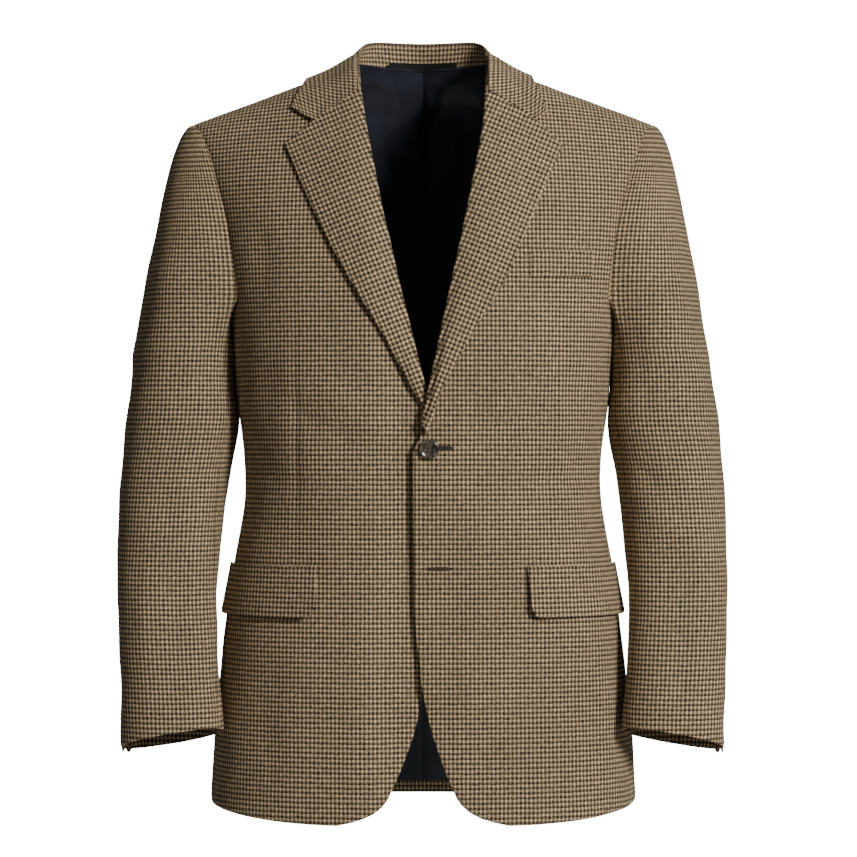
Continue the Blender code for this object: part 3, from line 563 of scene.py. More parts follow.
    def cloth_place(self, side: Side, angle: Array, row: Array) -> Array:
        """Where places lie on the flat cloth: across from centre front and up, in metres."""
        share = np.linspace(0, 1, 48) ** 1.3
        reach = np.where(np.asarray(angle) > 90, 180.0, 0.0)
        swing = reach[..., None] + (angle - reach)[..., None] * share
        fan = self.point(side, swing, np.asarray(row)[..., None])
        across = np.linalg.norm(np.diff(fan, axis=-2), axis=-1).sum(-1) * np.sign(angle - reach)
        rows = np.linspace(0, LAST_ROW, 300)
        slack = []
        for line in (50.0, 130.0):
            points = self.point(side, line, rows)
            run = lengths_along(points[None], 1)[0]
            slack.append(np.interp(row, rows, run + points[:, 2] - points[0, 2]))
        extra = np.where(reach > 90, slack[1], slack[0])
        level = self.point(side, angle, row)[..., 2]
        return np.stack((across * side.value, level - extra, np.zeros_like(level)), axis=-1) * MM


BODY = BodyForm()


@dataclass
class SleeveForm:
    """The sleeve's outer surface, from the armhole over the cap and down to the cuff."""

    power: float = 2.4
    gap: float = -2.4
    clearance: float = 2.4
    pressed: float = -1.5
    open_levels: tuple[float, float] = (350.0, 388.0)
    inner_angles: tuple[float, float, float, float] = (100.0, 135.0, 225.0, 260.0)
    seams_top: tuple[float, float] = (140.0, 287.0)
    seams_cuff: tuple[float, float] = (165.0, 325.0)
    loop: Array = field(default_factory=lambda: np.zeros((0, 3)))
    loop_run: Array = field(default_factory=lambda: np.zeros(0))

    def __post_init__(self) -> None:
        """Trace the armhole once."""
        rows = np.linspace(0, UNDERARM, 90)
        front = BODY.point(Side.LEFT, BODY.armhole(False, rows), rows)
        under = BODY.point(Side.LEFT, np.linspace(BODY.seam_front, BODY.seam_back, 12), UNDERARM)
        back = BODY.point(Side.LEFT, BODY.armhole(True, rows), rows)[::-1]
        self.loop = np.concatenate((front, under[1:-1], back))
        self.loop_run = lengths_along(self.loop[None], 1)[0]

    def armhole(self, angle: Array) -> Array:
        """Points of the armhole seam by share of its length; 0 is the shoulder."""
        target = (angle % 360.0) / 360.0 * self.loop_run[-1]
        return np.stack([np.interp(target, self.loop_run, line) for line in self.loop.T], axis=-1)

    def ring(self, angle: Array, place: Array) -> Array:
        """Points on the rings at fractional rows of the ring table."""
        columns = list(zip(*RINGS))
        ring = Ring(*(curve_through(column, place) for column in columns))
        ahead, behind = np.minimum(place + 0.5, len(RINGS) - 1), np.maximum(place - 0.5, 0)
        pitch = ((curve_through(columns[1], ahead) - curve_through(columns[1], behind))
                 / (curve_through(columns[2], ahead) - curve_through(columns[2], behind)))
        sine, cosine = np.sin(np.radians(angle)), np.cos(np.radians(angle))
        x = ring.half_x * signed_power(cosine, 2 / self.power)
        y = -ring.half_y * signed_power(sine, 2 / self.power)
        return np.stack((ring.x + x, ring.y + y, ring.z - pitch * y - ring.lean * x), axis=-1)

    def clear_of_body(self, points: Array, amount: Array) -> Array:
        """Keep sleeve points beside the body."""
        drops = [section.drop for section in SECTIONS]
        row = np.interp(np.maximum(-points[..., 2], 256.0), drops, range(len(SECTIONS)))
        section = BODY.section(row)
        depth = np.where(points[..., 1] < 0, section.front, section.back)
        share = np.minimum(np.abs(points[..., 1]) / depth, 1.0)
        least = section.half_width * (1 - share ** BODY.power) ** (1 / BODY.power)
        clearance = mix(self.pressed, self.clearance, smooth(-points[..., 2], *self.open_levels))
        least = least + clearance * amount
        moved = points.copy()
        moved[..., 0] = kept_over(points[..., 0], least, 3.0)
        return moved

    def point(self, side: Side, angle: Array, place: Array) -> Array:
        """Points on the sleeve's outer face, drawn on the +X side.

        Args:
            side: whose small outward shift is added.
            angle: degrees, 0 outward, 90 front, 180 inward, 270 back.
            place: 0 to 1 over the cap, then the ring table.

        Returns:
            Points in millimetres on the +X side.
        """
        angle = np.asarray(angle, float) % 360.0
        angle, place = np.broadcast_arrays(angle, np.asarray(place, float))
        inner = between(angle, *self.inner_angles)
        low = self.ring(angle, np.maximum(place - 1, 0))
        low = mix(low, self.clear_of_body(low, np.ones_like(place)), inner[..., None])
        keys = [row[0] for row in CAP_LINES]
        line = [read_curve(keys, column, angle) for column in list(zip(*CAP_LINES))[1:]]
        leave = unit(np.stack(line[:3], axis=-1))
        start = self.armhole(angle) + unit(leave + np.array((0.6, 0, 0))) * self.gap
        end = self.ring(angle, np.zeros_like(place))
        arrive = unit(self.ring(angle, np.full_like(place, 0.25)) - end)
        reach = np.linalg.norm(end - start, axis=-1)
        cap = hermite(np.clip(place, 0, 1)[..., None], start, end,
                      leave * (reach * line[3])[..., None], arrive * (reach * line[4])[..., None])
        clear = self.clear_of_body(cap, np.clip(place, 0, 1))
        cap = mix(cap, clear, (inner * smooth(place, 0, 0.35))[..., None])
        points = np.where(place[..., None] >= 1, low, cap)
        keys, left, right = zip(*SLEEVE_SHIFTS)
        shift = read_curve(keys, left if side is Side.LEFT else right, place)
        points[..., 0] += shift * (1 + np.cos(np.radians(angle))) / 2
        return points

    def seam(self, which: int, place: Array) -> Array:
        """Angle of a sleeve seam, which turns a little towards the cuff."""
        share = np.minimum(place / len(RINGS), 1.0)
        return mix(self.seams_top[which], self.seams_cuff[which], share)


SLEEVE = SleeveForm()


class NodeNet:
    """Short hand for a material's nodes."""

    def __init__(self, name: str) -> None:
        """Start a material with its shader."""
        self.material = bpy.data.materials.new(name)
        self.material.use_nodes = True
        self.tree = self.material.node_tree

    def new(self, kind: str, **settings: object) -> bpy.types.Node:
        """Add a node and set its properties."""
        node = self.tree.nodes.new("ShaderNode" + kind)
        for name, value in settings.items():
            setattr(node, name, value)
        return node

    def fill(self, node: bpy.types.Node, values: dict[object, object]) -> bpy.types.Node:
        """Link a node's inputs to other outputs, or set their values."""
        for key, value in values.items():
            if isinstance(value, Socket):
                self.tree.links.new(value, node.inputs[key])
            else:
                node.inputs[key].default_value = value
        return node

    def math(self, kind: str, first: object, second: object = 0.0) -> Socket:
        """One arithmetic step."""
        return self.fill(self.new("Math", operation=kind), {0: first, 1: second}).outputs[0]

    def noise(self, vector: object, scale: float, detail: float = 2.0,
              output: str = "Fac") -> Socket:
        """Noise between 0 and 1."""
        inputs = {"Vector": vector, "Scale": scale, "Detail": detail}
        return self.fill(self.new("TexNoise"), inputs).outputs[output]

    def wave(self, vector: object, scale: float, direction: str = "DIAGONAL",
             distortion: float = 0.0) -> Socket:
        """Fine bands between 0 and 1, for ribs and twisted thread."""
        node = self.new("TexWave", wave_type="BANDS", bands_direction=direction)
        inputs = {"Vector": vector, "Scale": scale, "Distortion": distortion}
        return self.fill(node, inputs).outputs["Fac"]

    def span(self, value: object, low: float, high: float, new_low: float = 0.0,
             new_high: float = 1.0) -> Socket:
        """Map a range to another, held at its ends."""
        inputs = dict(enumerate((value, low, high, new_low, new_high)))
        return self.fill(self.new("MapRange"), inputs).outputs[0]

    def blend(self, part: object, first: object, second: object,
              mode: str = "MIX") -> Socket:
        """Mix two colours."""
        node = self.new("Mix", data_type="RGBA", blend_type=mode)
        return self.fill(node, {0: part, 6: first, 7: second}).outputs[2]

    def shades(self, part: object, colour: Sequence[float], low: float,
               high: float) -> Socket:
        """Run from one shade of a colour to another."""
        ends = [(*(min(channel * scale, 1.0) for channel in colour), 1.0) for scale in (low, high)]
        return self.blend(part, *ends)

    def toned(self, colour: object, value: object) -> Socket:
        """Darken or lighten a colour by a value."""
        grey = self.fill(self.new("CombineColor"), {0: value, 1: value, 2: value})
        return self.blend(1.0, colour, grey.outputs[0], "MULTIPLY")

    def bump(self, height: object, distance: float, strength: float) -> Socket:
        """Bump from a height."""
        inputs = {"Height": height, "Distance": distance, "Strength": strength}
        return self.fill(self.new("Bump"), inputs).outputs["Normal"]

    def cloth_place(self) -> Socket:
        """Place on the flat cloth."""
        return self.new("Attribute", attribute_name="cloth").outputs["Vector"]

    def object_place(self) -> Socket:
        """Object coordinates."""
        return self.new("TexCoord").outputs["Object"]

    def finish(self, inputs: dict[str, object]) -> Material:
        """Fill the shader's inputs and hand over the material."""
        self.fill(self.tree.nodes["Principled BSDF"], inputs)
        return self.material


@dataclass(frozen=True)
class Tweed:
    """Houndstooth wool: a dark tooth on a tan ground, with more of the weft on top, and a painted
    highlight where both threads are light.
    """

    name: str = "tweed"
    dark: Colour = (0.004, 0.003, 0.002)
    light: Colour = (0.50, 0.365, 0.205)
    across: float = WEAVE_ACROSS
    along: float = WEAVE_ALONG
    warp_share: float = 0.60
    weft_share: float = 0.50
    over_share: float = 0.26
    threads: float = 8.0
    wander: float = 0.0014

    def build(self) -> Material:
        """Make the material."""
        net = NodeNet(self.name)
        cloth = net.cloth_place()
        drift = net.new("VectorMath", operation="MULTIPLY_ADD")
        net.fill(drift, {0: net.noise(cloth, 210.0, 1.0, "Color"),
                         1: (self.wander, self.wander, 0.0), 2: cloth})
        split = net.fill(net.new("SeparateXYZ"), {0: drift.outputs[0]})
        warp = net.math("DIVIDE", split.outputs[0], self.across)
        weft = net.math("DIVIDE", split.outputs[1], self.along)
        warp_dark = self.stripe(net, warp, self.warp_share)
        weft_dark = self.stripe(net, weft, self.weft_share)
        twill = net.math("ADD", *self.cells(net, (warp, weft), self.threads))
        over = self.stripe(net, net.math("DIVIDE", twill, 4.0), self.over_share)
        tooth = net.math("ADD", net.math("MULTIPLY", over, warp_dark),
                         net.math("MULTIPLY", net.math("SUBTRACT", 1.0, over), weft_dark))
        plain = net.math("MULTIPLY", net.math("SUBTRACT", 1.0, warp_dark),
                         net.math("SUBTRACT", 1.0, weft_dark))
        fuzz = net.noise(cloth, 900.0)
        worn = net.span(fuzz, 0.3, 0.7)
        cell = net.fill(net.new("CombineXYZ"),
                        dict(enumerate(self.cells(net, (warp, weft), 2.0))))
        chance = net.fill(net.new("TexWhiteNoise", noise_dimensions="2D"),
                          {"Vector": cell.outputs[0]}).outputs["Value"]
        ground = net.shades(worn, self.light, 0.66, 1.34)
        # Painted highlight: the ground is lighter in the cells where warp and weft are both light,
        # as if light caught the crossing threads, and darker in the other cells.
        ground = net.toned(ground, net.span(plain, 0.0, 1.0, 0.8, 1.3))
        ground = net.toned(ground, net.span(chance, 0.0, 1.0, 0.84, 1.16))
        teeth = net.shades(worn, self.dark, 1.0, 7.0)
        depth = net.span(chance, 0.0, 1.0, 0.86, 1.0)
        colour = net.blend(net.math("MULTIPLY", tooth, depth), ground, teeth)
        colour = net.toned(colour, net.span(net.noise(cloth, 9.0, 3.0), 0.3, 0.7, 0.9, 1.06))
        ribs = [net.math("ABSOLUTE", net.math("SINE", net.math("MULTIPLY", run, 25.13)))
                for run in (warp, weft)]
        height = net.math("ADD", net.math("MULTIPLY", net.math("ADD", *ribs), 0.4),
                          net.math("MULTIPLY", fuzz, 0.6))
        return net.finish({"Base Color": colour, "Normal": net.bump(height, 0.0003, 0.5),
                           "Roughness": 0.92, "Specular IOR Level": 0.25, "Sheen Weight": 0.12,
                           "Sheen Roughness": 0.5, "Sheen Tint": (0.75, 0.62, 0.48, 1.0)})

    def stripe(self, net: NodeNet, run: Socket, share: float) -> Socket:
        """1 on the first share of the repeat, 0 on the rest."""
        return net.math("LESS_THAN", net.math("FRACT", run), share)

    def cells(self, net: NodeNet, runs: Sequence[Socket],
              count: float) -> list[Socket]:
        """Whole numbers of the cells that a repeat splits into, each way."""
        return [net.math("FLOOR", net.math("MULTIPLY", run, count)) for run in runs]


@dataclass(frozen=True)
class Satin:
    """Smooth lining cloth with a fine diagonal rib."""

    name: str = "lining"
    colour: Colour = (0.021, 0.023, 0.034)
    roughness: tuple[float, float] = (0.30, 0.42)

    def build(self) -> Material:
        """Make the material."""
        net = NodeNet(self.name)
        cloth = net.cloth_place()
        tone = net.noise(cloth, 30.0, 3.0)
        rib = net.wave(cloth, 900.0, distortion=0.6)
        colour = net.shades(net.span(tone, 0.3, 0.7), self.colour, 0.8, 1.3)
        return net.finish({"Base Color": colour,
                           "Normal": net.bump(rib, 0.0001, 0.25),
                           "Roughness": net.span(tone, 0.3, 0.7, *self.roughness),
                           "Sheen Weight": 0.05})


@dataclass(frozen=True)
class LabelWeave:
    """Dense black ribbon with a fine cross rib, left bare."""

    name: str = "label"
    colour: Colour = (0.003, 0.003, 0.0035)

    def build(self) -> Material:
        """Make the material."""
        net = NodeNet(self.name)
        place = net.object_place()
        fleck = net.span(net.noise(place, 1500.0, 1.0), 0.4, 0.6)
        return net.finish({"Base Color": net.shades(fleck, self.colour, 1.0, 2.4),
                           "Normal": net.bump(net.wave(place, 1300.0, "X"), 0.0001, 0.5),
                           "Roughness": 0.75, "Specular IOR Level": 0.25})


@dataclass(frozen=True)
class Horn:
    """Polished dark horn with paler streaks."""

    name: str = "horn"
    dark: Colour = (0.026, 0.022, 0.017)
    streak: Colour = (0.15, 0.12, 0.085)

    def build(self) -> Material:
        """Make the material."""
        net = NodeNet(self.name)
        place = net.object_place()
        stretch = net.fill(net.new("Mapping"), {"Vector": place, "Scale": (1.0, 1.0, 0.35),
                                                "Rotation": (0.0, 0.6, 0.3)})
        streaks = net.noise(stretch.outputs[0], 330.0, 5.0)
        colour = net.blend(net.span(streaks, 0.42, 0.68), (*self.dark, 1.0), (*self.streak, 1.0))
        scratches = net.noise(place, 1900.0, 3.0)
        return net.finish({"Base Color": colour, "Normal": net.bump(streaks, 0.0002, 0.15),
                           "Roughness": net.span(scratches, 0.3, 0.7, 0.14, 0.26),
                           "Coat Weight": 0.5, "Coat Roughness": 0.12})


@dataclass(frozen=True)
class Thread:
    """Twisted sewing thread, with painted shade in the twist's grooves."""

    name: str
    colour: Colour

    def build(self) -> Material:
        """Make the material."""
        net = NodeNet(self.name)
        twist = net.wave(net.object_place(), 750.0, distortion=1.0)
        # Painted shade: the colour runs darker in the twist's low bands, where the bump sinks,
        # over the thread's own colour.
        return net.finish({"Base Color": net.shades(twist, self.colour, 0.6, 1.3),
                           "Normal": net.bump(twist, 0.0002, 0.6), "Roughness": 0.7})


@dataclass(frozen=True)
class PaleFloor:
    """Matt off-white studio floor."""

    name: str = "floor"

    def build(self) -> Material:
        """Make the material."""
        net = NodeNet(self.name)
        mottle = net.noise(net.object_place(), 3.0, 4.0)
        colour = net.blend(mottle, (0.80, 0.80, 0.79, 1.0), (0.84, 0.84, 0.83, 1.0))
        return net.finish({"Base Color": colour, "Roughness": 0.8})


@dataclass
class Finishes:
    """The blazer's finishes, made once."""

    tweed: Material
    lining: Material
    label: Material
    horn: Material
    button_thread: Material
    edge_thread_and_slit_shade: Material

    @classmethod
    def make(cls) -> "Finishes":
        """Build every finish."""
        return cls(Tweed().build(), Satin().build(), LabelWeave().build(), Horn().build(),
                   Thread("button_thread", (0.10, 0.07, 0.05)).build(),
                   # The buttonhole thread also colours the slit, a dark strip of painted shade.
                   Thread("buttonhole_thread", (0.040, 0.022, 0.013)).build())


def cloth_grid(points: Array, place: Array) -> BMesh:
    """Sheet of cloth drawn over a grid of points.

    Args:
        points: rows x columns x 3, in millimetres, columns across and rows down.
        place: the same grid on the flat cloth, in metres.

    Returns:
        The sheet's mesh, without a thickness.
    """
    rows, columns = points.shape[:2]
    mesh = bmesh.new()
    bmesh.ops.create_grid(mesh, x_segments=columns - 1, y_segments=rows - 1, size=0.5)
    layer = mesh.verts.layers.float_vector.new("cloth")
    order = mesh.verts.layers.int.new("order")
    for vert in mesh.verts:
        i = round((0.5 - vert.co.y) * (rows - 1))
        j = round((vert.co.x + 0.5) * (columns - 1))
        vert.co = points[i, j] * MM
        vert[layer] = place[i, j]
        vert[order] = i * columns + j
    return mesh


def mesh_data(name: str, mesh: BMesh) -> bpy.types.Mesh:
    """Mesh data made from a working mesh, which is freed."""
    data = bpy.data.meshes.new(name)
    mesh.to_mesh(data)
    mesh.free()
    return data


def put_in_scene(name: str, data: bpy.types.ID) -> Object:
    """Object made from its data and put in the scene."""
    made = bpy.data.objects.new(name, data)
    bpy.context.scene.collection.objects.link(made)
    return made


def finish_piece(name: str, mesh: BMesh, materials: Sequence[Material],
                 stands_for_node: bool = False) -> Object:
    """Turn a mesh into a piece that rides on the blazer.

    Args:
        name: the piece's name.
        mesh: its mesh, which is freed.
        materials: its finishes.
        stands_for_node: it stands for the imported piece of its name.

    Returns:
        The piece.
    """
    if "order" in mesh.verts.layers.int:
        mesh.verts.layers.int.remove(mesh.verts.layers.int["order"])
    data = mesh_data(name, mesh)
    data.shade_smooth()
    data.set_sharp_from_angle(angle=math.radians(55))
    for material in materials:
        data.materials.append(material)
    piece = put_in_scene(name, data)
    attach(piece, "root")
    if stands_for_node:
        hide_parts(name)
    LOG.info("%s: %d faces", name, len(data.polygons))
    return piece


def cloth_wall(name: str, points: Array, place: Array, outward: Array, thickness: float,
               materials: Sequence[Material],
               inner_finish: Callable[[Vector], int] | None = None) -> None:
    """Sheet of cloth with a thickness behind a grid of outer points.

    Args:
        name: the piece's name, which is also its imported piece's.
        points: outer face, rows x columns x 3, in millimetres.
        place: the grid on the flat cloth, in metres.
        outward: directions out of the outer face.
        thickness: the cloth's, in millimetres.
        materials: finishes, the outer one first.
        inner_finish: finish number of an inner face from its place on the cloth.
    """
    mesh = cloth_grid(points, place)
    mesh.normal_update()
    middle = points.shape[0] // 2, points.shape[1] // 2
    probe = Vector(points[middle] * MM)
    nearest = min(mesh.faces, key=lambda face: (face.calc_center_median() - probe).length)
    if nearest.normal.dot(Vector(outward[middle])) < 0:
        bmesh.ops.reverse_faces(mesh, faces=mesh.faces[:])
    outer, fixed = set(mesh.faces), set(mesh.verts)
    bmesh.ops.solidify(mesh, geom=mesh.faces[:], thickness=thickness * MM)
    order = mesh.verts.layers.int["order"]
    inner = ((points - outward * thickness) * MM).reshape(-1, 3)
    for vert in mesh.verts:
        if vert not in fixed:
            vert.co = inner[vert[order]]
    if inner_finish is not None:
        layer = mesh.verts.layers.float_vector["cloth"]
        for face in mesh.faces:
            if face not in outer:
                face.material_index = inner_finish(face.verts[0][layer])
    piece = finish_piece(name, mesh, materials, stands_for_node=True)
    declare(points)


def declare(points: Array,
            allowance: float = 0.016) -> None:
    """Work out a piece's width, length and area of cloth with seam allowance; the results are not
    kept.

    Args:
        points: its outer grid, in millimetres.
        allowance: most seam allowance over the width and over the length, in metres.
    """
    width = float(lengths_along(points, 1)[:, -1].max()) * MM
    length = float(lengths_along(points, 0)[-1].max()) * MM
    first = np.cross(points[1:, 1:] - points[:-1, :-1], points[1:, :-1] - points[:-1, 1:])
    area = min(float(np.linalg.norm(first, axis=-1).sum() / 2) * MM * MM, width * length)
    allowance = min(allowance, 0.2 * width * length / (width + length))
    area += allowance * (width + length)
    width, length = width + allowance, length + allowance


def tuck_edges(points: Array, normals: Array, sides: Sequence[str], depth: float,
               width: float) -> Array:
    """Round a panel's borders under, as a pressed seam or a turned edge does.

    Args:
        points: the panel's grid in millimetres.
        normals: its outward directions.
        sides: which borders, of first, last, top and bottom.
        depth: how far the border sinks.
        width: how far in from the border the rounding starts.

    Returns:
        The grid with its borders rounded.
    """
    across, down = lengths_along(points, 1), lengths_along(points, 0)
    away = {"first": across, "last": across[:, -1:] - across,
            "top": down, "bottom": down[-1:] - down}
    sink = np.zeros(points.shape[:2])
    for name in sides:
        sink = np.maximum(sink, np.clip(1 - away[name] / width, 0, 1) ** 2)
    return points - normals * (sink * depth)[..., None]


@dataclass
class Body:
    """Fronts, side bodies, backs, lining and the turned-up hem."""

    finishes: Finishes
    cloth: float = 2.0
    lining: float = 1.0
    lining_depth: float = 5.4
    lining_end: float = 24.6
    lining_rise: float = 6.8
    lining_forward: float = 7.0
    lining_reach: tuple[float, float] = (7.0, 18.0)
    facing_depth: float = 3.3
    facing_rows: tuple[float, float] = (23.9, 26.6)
    seam_depth: float = 0.9
    seam_width: float = 3.2
    unevenness: float = 1.1
    front_columns: int = 76
    side_columns: int = 30
    back_columns: int = 70
    lining_columns: int = 76
    pleat_ridge: tuple[float, float] = (1.8, 9.0)
    pleat_groove: tuple[float, float] = (2.8, 3.2)
    pleat_rows: tuple[float, float] = (3.6, 5.2)

    def rows(self, first: float, last: float, step: float) -> Array:
        """Section rows spaced evenly down the panel."""
        fine = np.linspace(first, last, 600)
        line = BODY.point(Side.LEFT, 45.0, fine)[None]
        count = int(lengths_along(line, 1)[0, -1] / step) + 1
        return even_steps(line, fine[None], count)[0]

    def panel(self, side: Side, rows: Array, first: Array, last: Array,
              columns: int) -> tuple[Array, Array, Array]:
        """Grid of a panel with its directions and its place on the cloth."""
        angles = BODY.even_angles(side, first, last, rows, columns)
        tall = np.broadcast_to(rows[:, None], angles.shape)
        return (BODY.point(side, angles, tall), BODY.normal(side, angles, tall),
                BODY.cloth_place(side, angles, tall))

    def relief(self, side: Side, points: Array) -> Array:
        """Height of the drape over the plain form, in millimetres."""
        x, y, z = points[..., 0], points[..., 1], points[..., 2]
        loose = self.unevenness * (0.35 + 0.65 * smooth(-z, 60, 220))
        height = loose * waves(x + y * 0.7, z * 0.45, 2.0 + side.value)
        return height + crease_height(FRONT_CREASES[side], x, z) * smooth(-y, 20, 60)

    def build(self) -> None:
        """Make every panel."""
        down = self.rows(0, LAST_ROW, 4.0)
        low = self.rows(UNDERARM, LAST_ROW, 4.0)
        for side in Side:
            self.build_panel(f"front_{side.word}", side, down, BODY.front_start(side, down),
                             BODY.armhole(False, down), self.front_columns)
            self.build_panel(f"side_{side.word}", side, low, np.full(len(low), BODY.seam_front),
                             np.full(len(low), BODY.seam_back), self.side_columns)
            self.build_panel(f"back_{side.word}", side, down, BODY.back_neck(down),
                             BODY.armhole(True, down), self.back_columns)
            self.build_lining(side)
        self.build_hem_facing()

    def build_panel(self, name: str, side: Side, rows: Array, first: Array, last: Array,
                    columns: int) -> None:
        """One outer panel of tweed."""
        points, normals, place = self.panel(side, rows, first, last, columns)
        points = points + normals * self.relief(side, points)[..., None]
        points = tuck_edges(points, normals, ("first", "last", "top", "bottom"),
                            self.seam_depth, self.seam_width)
        plain = name.startswith("back")
        cloth_wall(name, points, place, normals, self.cloth,
                   (self.finishes.tweed, self.finishes.lining),
                   inner_finish=lambda spot: int(not plain and self.lined(spot)))

    def lined(self, spot: Vector) -> bool:
        """Whether the inside is lining here, beyond the facing and above the turned hem."""
        return abs(spot.x) > 0.105 and spot.y > -0.80

    def build_lining(self, side: Side) -> None:
        """Lining behind a back half, with the pleat at centre back."""
        rows = self.rows(1.0, self.lining_end, 6.0)
        points, normals, place = self.panel(side, rows, BODY.back_neck(rows),
                                            BODY.armhole(True, rows) + 5, self.lining_columns)
        across = lengths_along(points, 1)
        (ridge, broad), (groove, narrow) = self.pleat_ridge, self.pleat_groove
        pleat = ridge * hump(across, broad) - groove * hump(across, narrow)
        pleat = pleat * smooth(rows, *self.pleat_rows)[:, None]
        loose = 0.9 * waves(points[..., 0] * 1.6, points[..., 2] * 0.9, 5.0 + side.value)
        depth = self.lining_depth + pleat + np.clip(loose, -0.6, 1.4)
        depth = depth + crease_height(LINING_CREASES, points[..., 0], points[..., 2])
        rows_down = np.linspace(0, len(BACK_NECK) - 1, 80)
        neck = BODY.point(side, BODY.back_neck(rows_down), rows_down)
        edge = np.interp(np.abs(points[..., 0]), np.abs(neck[::-1, 0]), neck[::-1, 2])
        away = np.maximum(edge - points[..., 2], 0)
        aside = np.abs(points[..., 0])
        beside = 1 - smooth(aside, 68, 82)
        near, wide = (hump(away, reach) * beside for reach in self.lining_reach)
        points = points - normals * (depth * (1 - 0.5 * near))[..., None]
        points[..., 2] += self.lining_rise * near * (1 - 0.5 * smooth(aside, 34, 66))
        points[..., 1] -= self.lining_forward * wide * (0.8 + 0.2 * smooth(aside, 30, 46))
        cloth_wall(f"lining_{side.word}", points, place, normals, self.lining,
                   (self.finishes.lining,))

    def build_hem_facing(self) -> None:
        """Tweed turned up inside the back hem, across both halves."""
        rows = self.rows(*self.facing_rows, 3.0)
        halves = []
        for side in Side:
            start, end = np.full(len(rows), BODY.seam_back + 4), np.full(len(rows), 180.0)
            halves.append(self.panel(side, rows, start, end, 60))
        points, normals, place = (np.concatenate((left, right[:, -2::-1]), axis=1)
                                  for left, right in zip(*halves))
        points = points - normals * self.facing_depth
        cloth_wall("hem_facing", points, place, normals, self.lining, (self.finishes.tweed,))


# Loose folds of the lining, over the front view
LINING_CREASES = [
    Crease([(-20, 4), (-30, -18), (-46, -46)], 2.0, 5.5),
    Crease([(26, 6), (21, -20), (10, -56)], 1.6, 5.5),
    Crease([(-12, -16), (-22, -70), (-14, -130)], 1.4, 7.0),
    Crease([(36, -10), (33, -70), (22, -150)], 1.6, 8.0),
    Crease([(-48, -20), (-40, -80), (-30, -120)], -1.4, 7.0),
]
# Troughs and ridges of the fronts, over the front view
FRONT_CREASES: dict[Side, list[Crease]] = {
    Side.LEFT: [
        Crease([(138, -250), (133, -340), (128, -443), (127, -508)], -1.5, 3.4),
        Crease([(16, -398), (60, -388), (110, -362), (150, -330)], -2.2, 13.0),
        Crease([(22, -380), (64, -356), (100, -318)], 2.0, 13.0),
        Crease([(20, -412), (70, -424), (130, -426), (178, -410)], -1.8, 12.0),
        Crease([(150, -300), (158, -360), (160, -430)], -2.0, 14.0),
        Crease([(60, -560), (52, -640), (60, -740)], 1.8, 22.0),
        Crease([(150, -590), (155, -660), (150, -745)], -1.6, 16.0),
        Crease([(172, -150), (160, -200), (168, -250)], -1.8, 12.0),
    ],
    Side.RIGHT: [
        Crease([(-129, -250), (-129, -340), (-128, -443), (-127, -505)], -1.5, 3.4),
        Crease([(-24, -398), (-66, -390), (-112, -366), (-150, -330)], -2.2, 13.0),
        Crease([(-30, -380), (-68, -358), (-104, -320)], 2.0, 13.0),
        Crease([(-26, -414), (-76, -426), (-132, -428), (-176, -412)], -1.8, 12.0),
        Crease([(-152, -290), (-160, -360), (-162, -430)], -2.0, 14.0),
        Crease([(-62, -560), (-56, -640), (-66, -740)], 1.8, 22.0),
        Crease([(-150, -590), (-156, -660), (-150, -745)], -1.6, 16.0),
        Crease([(-172, -150), (-160, -200), (-168, -250)], -1.8, 12.0),
    ],
}


